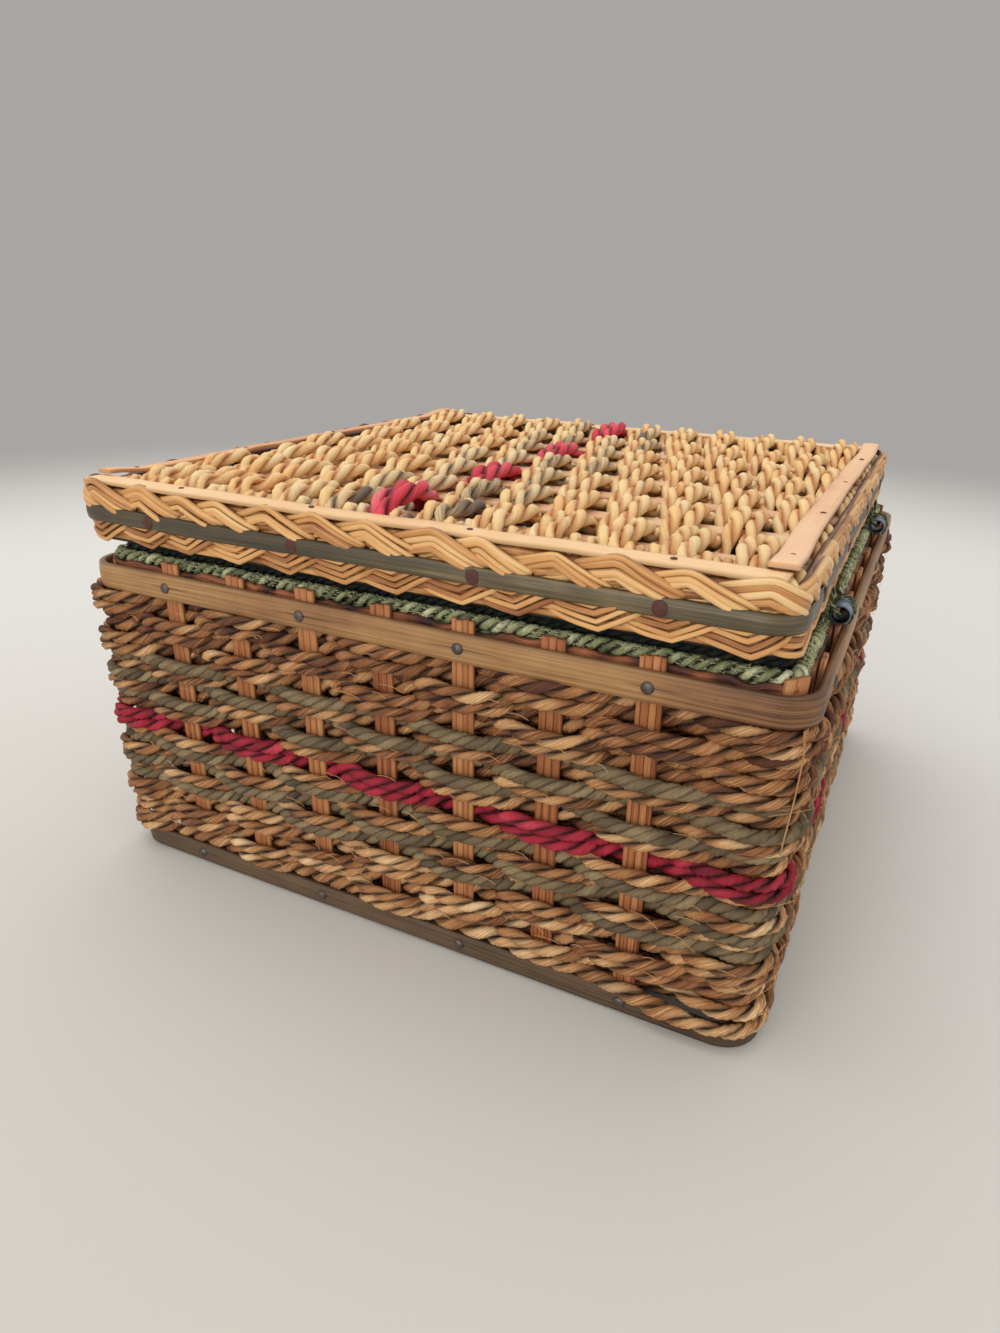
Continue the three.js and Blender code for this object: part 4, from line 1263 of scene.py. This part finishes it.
def skirt():
    """Both borders, the nailed strip between them, and the plain band inside that the strip is nailed to,
    painted near black as painted shade.
    """
    ring, draw = Ring(LID_HALF, LID_TURN, LID[:2]), np.random.default_rng(900)
    upper_border(ring, draw)
    lower_border(ring, draw)
    inset = STRIP_THICKNESS / 2
    path, ring, s = band_path("skirt_strip", inset, LID_TURN - inset, STRIP_LEVEL_DRIFT, 31)
    wide = STRIP_WIDTH + wander(s, STRIP_WIDTH_DRIFT, 33, ring.length)
    shade = 0.5 + wander(s, STRIP_TONE_DRIFT, 32, ring.length)
    strip = Shape()
    lath(strip, path, STRIP_THICKNESS, wide, True, shade, STRIP_CROWN)
    strip.make("skirt_binding", GREY_WOOD, "lid", "grey_strip", "skirt_strip")
    heads = Shape()
    nails_round(heads, LID, LID_HALF - SKIRT_NAIL_SINK, SKIRT_NAILS_ACROSS, SKIRT_NAILS_ALONG,
                SKIRT_NAIL_RADIUS, SKIRT_NAIL_RISE, 0)
    heads.make("skirt_nails", RUST, "lid", "hinge_steel")
    low, high = span("skirt_inner_band")
    thick = SKIRT_LINING_THICKNESS
    path, ring, s = band_path("skirt_inner_band", thick / 2, SKIRT_LINING_TURN, 0.0, 34)
    shade = 0.5 + wander(s, SKIRT_LINING_TONE_DRIFT, 35, ring.length)
    band = Shape()
    lath(band, path, thick, high[2] - low[2], True, shade, SKIRT_LINING_CROWN, SKIRT_LINING_EDGE)
    # Painted shade: the band is painted near black, as the shadow inside the skirt.
    band.make("skirt_lining", SHADOW_WOOD, "lid", "inner_lath", "skirt_inner_band")


# Hinges. A loop's points are how far it goes from the skirt's face to the tube's middle, 0 to 1, and its
# places along and above the tube. A lashing's points are places in width and height, over the tube. It
# slants by so much over so much height.

TUBE_BORE = 1.9
TUBE_SIDES = 36
TUBE_WAIST = 0.08
BORE_LIP = (0.1, 0.2)
OUTER_LIP = (0.25, 0.35)
TUBE_PAINTED_SHADE = (0.0, 0.1, 0.35, 0.9, 1.0)
LOOP_FACE = 1.15
LOOP = ((0, 6.5, 7.0), (0, 6.5, 3.1), (0.5, 6.5, 1.9), (1, 5.2, 0.1), (1, 3.0, 0), (1, 0, 0))
LOOP_RADIUS = 0.6
LOOP_PITCH = 3.6
LOOP_REFERENCE = (1.0, 0.3, 0.2)
LOOP_STEP = 0.7
LOOP_TONE = 0.2
THIN_CORD_SIDES = 6
LASHING = ((97.9, 95.0), (97.3, 97.2), (97.2, 99.3), (98.2, 101.6), (99.95, 102.55), (101.8, 101.7),
           (102.7, 99.6), (102.6, 97.6), (101.9, 95.8))
LASHING_PLACES = (1.2, 2.6)
LASHING_RADIUS = 0.42
LASHING_PITCH = 3.0
LASHING_STEP = 0.8
LASHING_TONE = 0.25
LASHING_SLANT = (0.25, 3)
LASHING_LEVEL = 99


def ring_tube(name):
    """A short tube with rounded lips: half of its section, mirrored, turned once round the tube's middle."""
    node = f"hinge_tube_{name}"
    low, high = span(node)
    outer, half = ((high - low) / 2)[:2]
    lips = [(TUBE_BORE, half - BORE_LIP[1]), (TUBE_BORE + BORE_LIP[0], half), (outer - OUTER_LIP[0], half),
            (outer, half - OUTER_LIP[1]), (outer - TUBE_WAIST, half / 3)]
    profile = np.array([(radius, -y) for radius, y in lips] + lips[::-1])
    turn = 2 * np.pi - full_turn(TUBE_SIDES)
    ring = np.stack([np.cos(turn), np.zeros_like(turn), np.sin(turn)], -1)
    points = middle(node) + profile[None, :, :1] * ring[:, None] + profile[None, :, 1:] * BACKWARD
    # Painted shade: the bore and the ends are darkened, the outside left at full colour.
    lit = np.tile([*TUBE_PAINTED_SHADE, *TUBE_PAINTED_SHADE[::-1]], (TUBE_SIDES, 1))
    shape = Shape()
    shape.grid(points, outer * turn, walked_to(profile, True), True, lit)
    shape.make(f"ring_tube_{name}", TUBE_STEEL, "box", "hinge_steel", node)


def hinges():
    """Two tubes along the right rim, each with a loop of cord through it that the lid hangs on, and two
    turns of cord that lash it down."""
    face = span("skirt_lower_braid")[1][0] + LOOP_FACE
    for name in ("front", "back"):
        ring_tube(name)
        centre = middle(f"hinge_tube_{name}")
        loop = [(face + share * (centre[0] - face), y, z) for share, y, z in LOOP]
        loop = loop + [(x, -y, z) for x, y, z in loop[-2::-1]]
        line = smooth([(x, centre[1] - y, centre[2] + z) for x, y, z in loop], LOOP_STEP)
        shape = Shape()
        twist(shape, line, LOOP_RADIUS, LOOP_PITCH, False, 700 + len(name), LOOP_TONE, THIN_CORD_SIDES,
              LOOP_REFERENCE)
        shape.make(f"lashing_loop_{name}", GREEN, "lid", "green_cord", f"hinge_loop_{name}")
        wraps = Shape()
        for off in LASHING_PLACES:
            slant, height = LASHING_SLANT
            over = [(x, centre[1] + off + slant * (LASHING_LEVEL - z) / height, z) for x, z in LASHING]
            twist(wraps, smooth(over, LASHING_STEP), LASHING_RADIUS, LASHING_PITCH, False,
                  720 + int(10 * off), LASHING_TONE, THIN_CORD_SIDES, BACKWARD)
        wraps.make(f"tube_lashing_{name}", GREEN, "box", "green_cord")


# Stray strands and fibres

CORNER_STRAND = ((100.2, -101.2, 88.0), (100.6, -101.3, 82.0), (100.4, -101.5, 74.0), (99.9, -101.3, 66.0),
                 (99.4, -101.0, 58.0))
STRAND_DRIFTS = (0.0, 0.9, -0.8)
STRAND_SHIFT = 0.3
STRAND_STEP = 2.0
STRAND_THICKNESS = 0.3
STRAND_WIDTH = 0.42
HAIR_COUNT = 300
HAIR_HEIGHTS = (8, 86)
HAIR_LENGTH = (3, 8)
HAIR_LEAN = (0.4, 1.6)
HAIR_LIFT = (-1.2, 1.2)
HAIR_STAND_OFF = 3.6
HAIR_BEND = 1.5
HAIR_WAVE = 0.5
HAIR_WAVE_TURN = 3
HAIR_THICKNESS = 0.16
HAIR_WIDTH = 0.2
HAIR_TONE = 0.8


def strays():
    """Loose strands down the near corner, and fine fibres that lean out of the wall by a power curve."""
    shape = Shape()
    for drift in STRAND_DRIFTS:
        line = np.array(CORNER_STRAND) + (0, drift, 0)
        line[0, 0] += STRAND_SHIFT * drift
        tube(shape, smooth(line, STRAND_STEP), STRAND_THICKNESS, STRAND_WIDTH, sides=THIN_CORD_SIDES,
             reference=BACKWARD)
    shape.make("corner_strands", STRAW, "box", "straw_cord")
    draw = np.random.default_rng(40)
    hairs = Shape()
    t = np.linspace(0, 1, 5)
    for _ in range(HAIR_COUNT):
        z = draw.uniform(*HAIR_HEIGHTS)
        ring = Ring(wall_half(z) - STAKE_INSET, CORNER_TURN)
        s = draw.uniform(0, ring.length)
        length, lean, lift = (draw.uniform(*each) for each in (HAIR_LENGTH, HAIR_LEAN, HAIR_LIFT))
        place, out = ring.at(s + t * length)
        stand_off = HAIR_STAND_OFF + lean * t**HAIR_BEND
        height = z + lift * t + HAIR_WAVE * np.sin(HAIR_WAVE_TURN * t)
        line = raised(place + out * stand_off[:, None], height)
        tube(hairs, line, HAIR_THICKNESS, HAIR_WIDTH, shade=HAIR_TONE, sides=3)
    hairs.make("wall_fibres", STRAW, "box", "straw_cord")


# Setting. Its measures are in metres.

FLOOR_SIZE = 12
FLOOR_LEVEL = -0.0004
# Painted shade: the floor is darker towards the front, where less light reaches it.
FLOOR_TONES = ((216, 213, 208), (199, 195, 185))
FLOOR_CHANGE = (0.05, -0.3)
FLOOR_ROUGHNESS = 0.75
BACKDROP_TONE = (168, 165, 162)
BACKDROP_FADE = (0.42, 0.95)
WORLD_COLOUR = (1.0, 0.99, 0.97, 1.0)
WORLD_STRENGTH = 0.78
LAMPS = (("key_lamp", (-0.5, 0.3, 1.7), 1.9, 12.2), ("fill_lamp", (-0.05, -1.1, 0.5), 0.9, 4.2))


def stage():
    """A pale floor, painted darker towards the front as painted shade, that fades to the backdrop's grey far
    from the box, under two square lamps.
    """
    bpy.ops.mesh.primitive_plane_add(size=FLOOR_SIZE, location=(0, 0, FLOOR_LEVEL))
    ground = bpy.context.object
    ground.name = "floor_sheet"
    paint = Paint("floor_paint")

    def share_of(value, start, end):
        """0 at start, 1 at end, and an S curve between them."""
        node = paint.add("MapRange", {0: value, 1: start, 2: end}, interpolation_type="SMOOTHSTEP")
        return node.outputs[0]

    place = paint.add("TexCoord", {}).outputs["Object"]
    forward = paint.add("SeparateXYZ", {0: place}).outputs[1]
    # Painted shade, darker towards the front.
    sheet = paint.mix(share_of(forward, *FLOOR_CHANGE), *(tone(*each) for each in FLOOR_TONES))
    paint.put(paint.shader, {"Base Color": sheet, "Roughness": FLOOR_ROUGHNESS})
    distance = paint.add("VectorMath", {0: place}, operation="LENGTH").outputs["Value"]
    share = share_of(distance, *BACKDROP_FADE)
    glow = paint.add("Emission", {"Color": tone(*BACKDROP_TONE)})
    blend = paint.add("MixShader", {0: share, 1: paint.shader.outputs[0], 2: glow.outputs[0]})
    paint.tree.links.new(blend.outputs[0], paint.tree.nodes["Material Output"].inputs[0])
    ground.data.materials.append(paint.material)

    world = bpy.data.worlds.new("studio")
    bpy.context.scene.world = world
    world.use_nodes = True
    tree = world.node_tree
    light, seen = tree.nodes["Background"], tree.nodes.new("ShaderNodeBackground")
    light.inputs[0].default_value = WORLD_COLOUR
    light.inputs[1].default_value = WORLD_STRENGTH
    seen.inputs[0].default_value = tone(*BACKDROP_TONE)
    ray, blend = tree.nodes.new("ShaderNodeLightPath"), tree.nodes.new("ShaderNodeMixShader")
    tree.links.new(ray.outputs["Is Camera Ray"], blend.inputs[0])
    tree.links.new(light.outputs[0], blend.inputs[1])
    tree.links.new(seen.outputs[0], blend.inputs[2])
    tree.links.new(blend.outputs[0], tree.nodes["World Output"].inputs[0])

    for name, place, size, power in LAMPS:
        lamp = bpy.data.lights.new(name, "AREA")
        lamp.size, lamp.energy = size, power
        thing = bpy.data.objects.new(name, lamp)
        thing.location = place
        thing.rotation_euler = (-Vector(place)).to_track_quat("-Z", "Y").to_euler()
        bpy.context.collection.objects.link(thing)


# Camera, in millimetres and radians

SENSOR_WIDTH = 36.0
LENS = 23.5
EYE = (112.9, -270.9, 165.8)
TURNED = 0.4494
TILTED = 0.3928
ROLLED = 0.0254


def camera():
    """The photograph's viewpoint, worked out from the corners of the box: turned to the left of +Y, tilted
    down and rolled a little."""
    lens = bpy.data.cameras.new("camera")
    lens.sensor_width, lens.lens = SENSOR_WIDTH, LENS
    eye = bpy.data.objects.new("camera", lens)
    bpy.context.collection.objects.link(eye)
    aim = Matrix.Rotation(TURNED, 4, "Z") @ Matrix.Rotation(np.pi / 2 - TILTED, 4, "X")
    place = Matrix.Translation(Vector(EYE) * MM)
    eye.matrix_world = place @ aim @ Matrix.Rotation(ROLLED, 4, "Z")
    bpy.context.scene.camera = eye


bpy.context.scene.view_settings.view_transform = "Standard"
camera()
stage()
wall_rows()
stakes()
box_laths()
collar()
floor()
lid_weave()
lid_laths()
frame_laths()
skirt()
hinges()
strays()
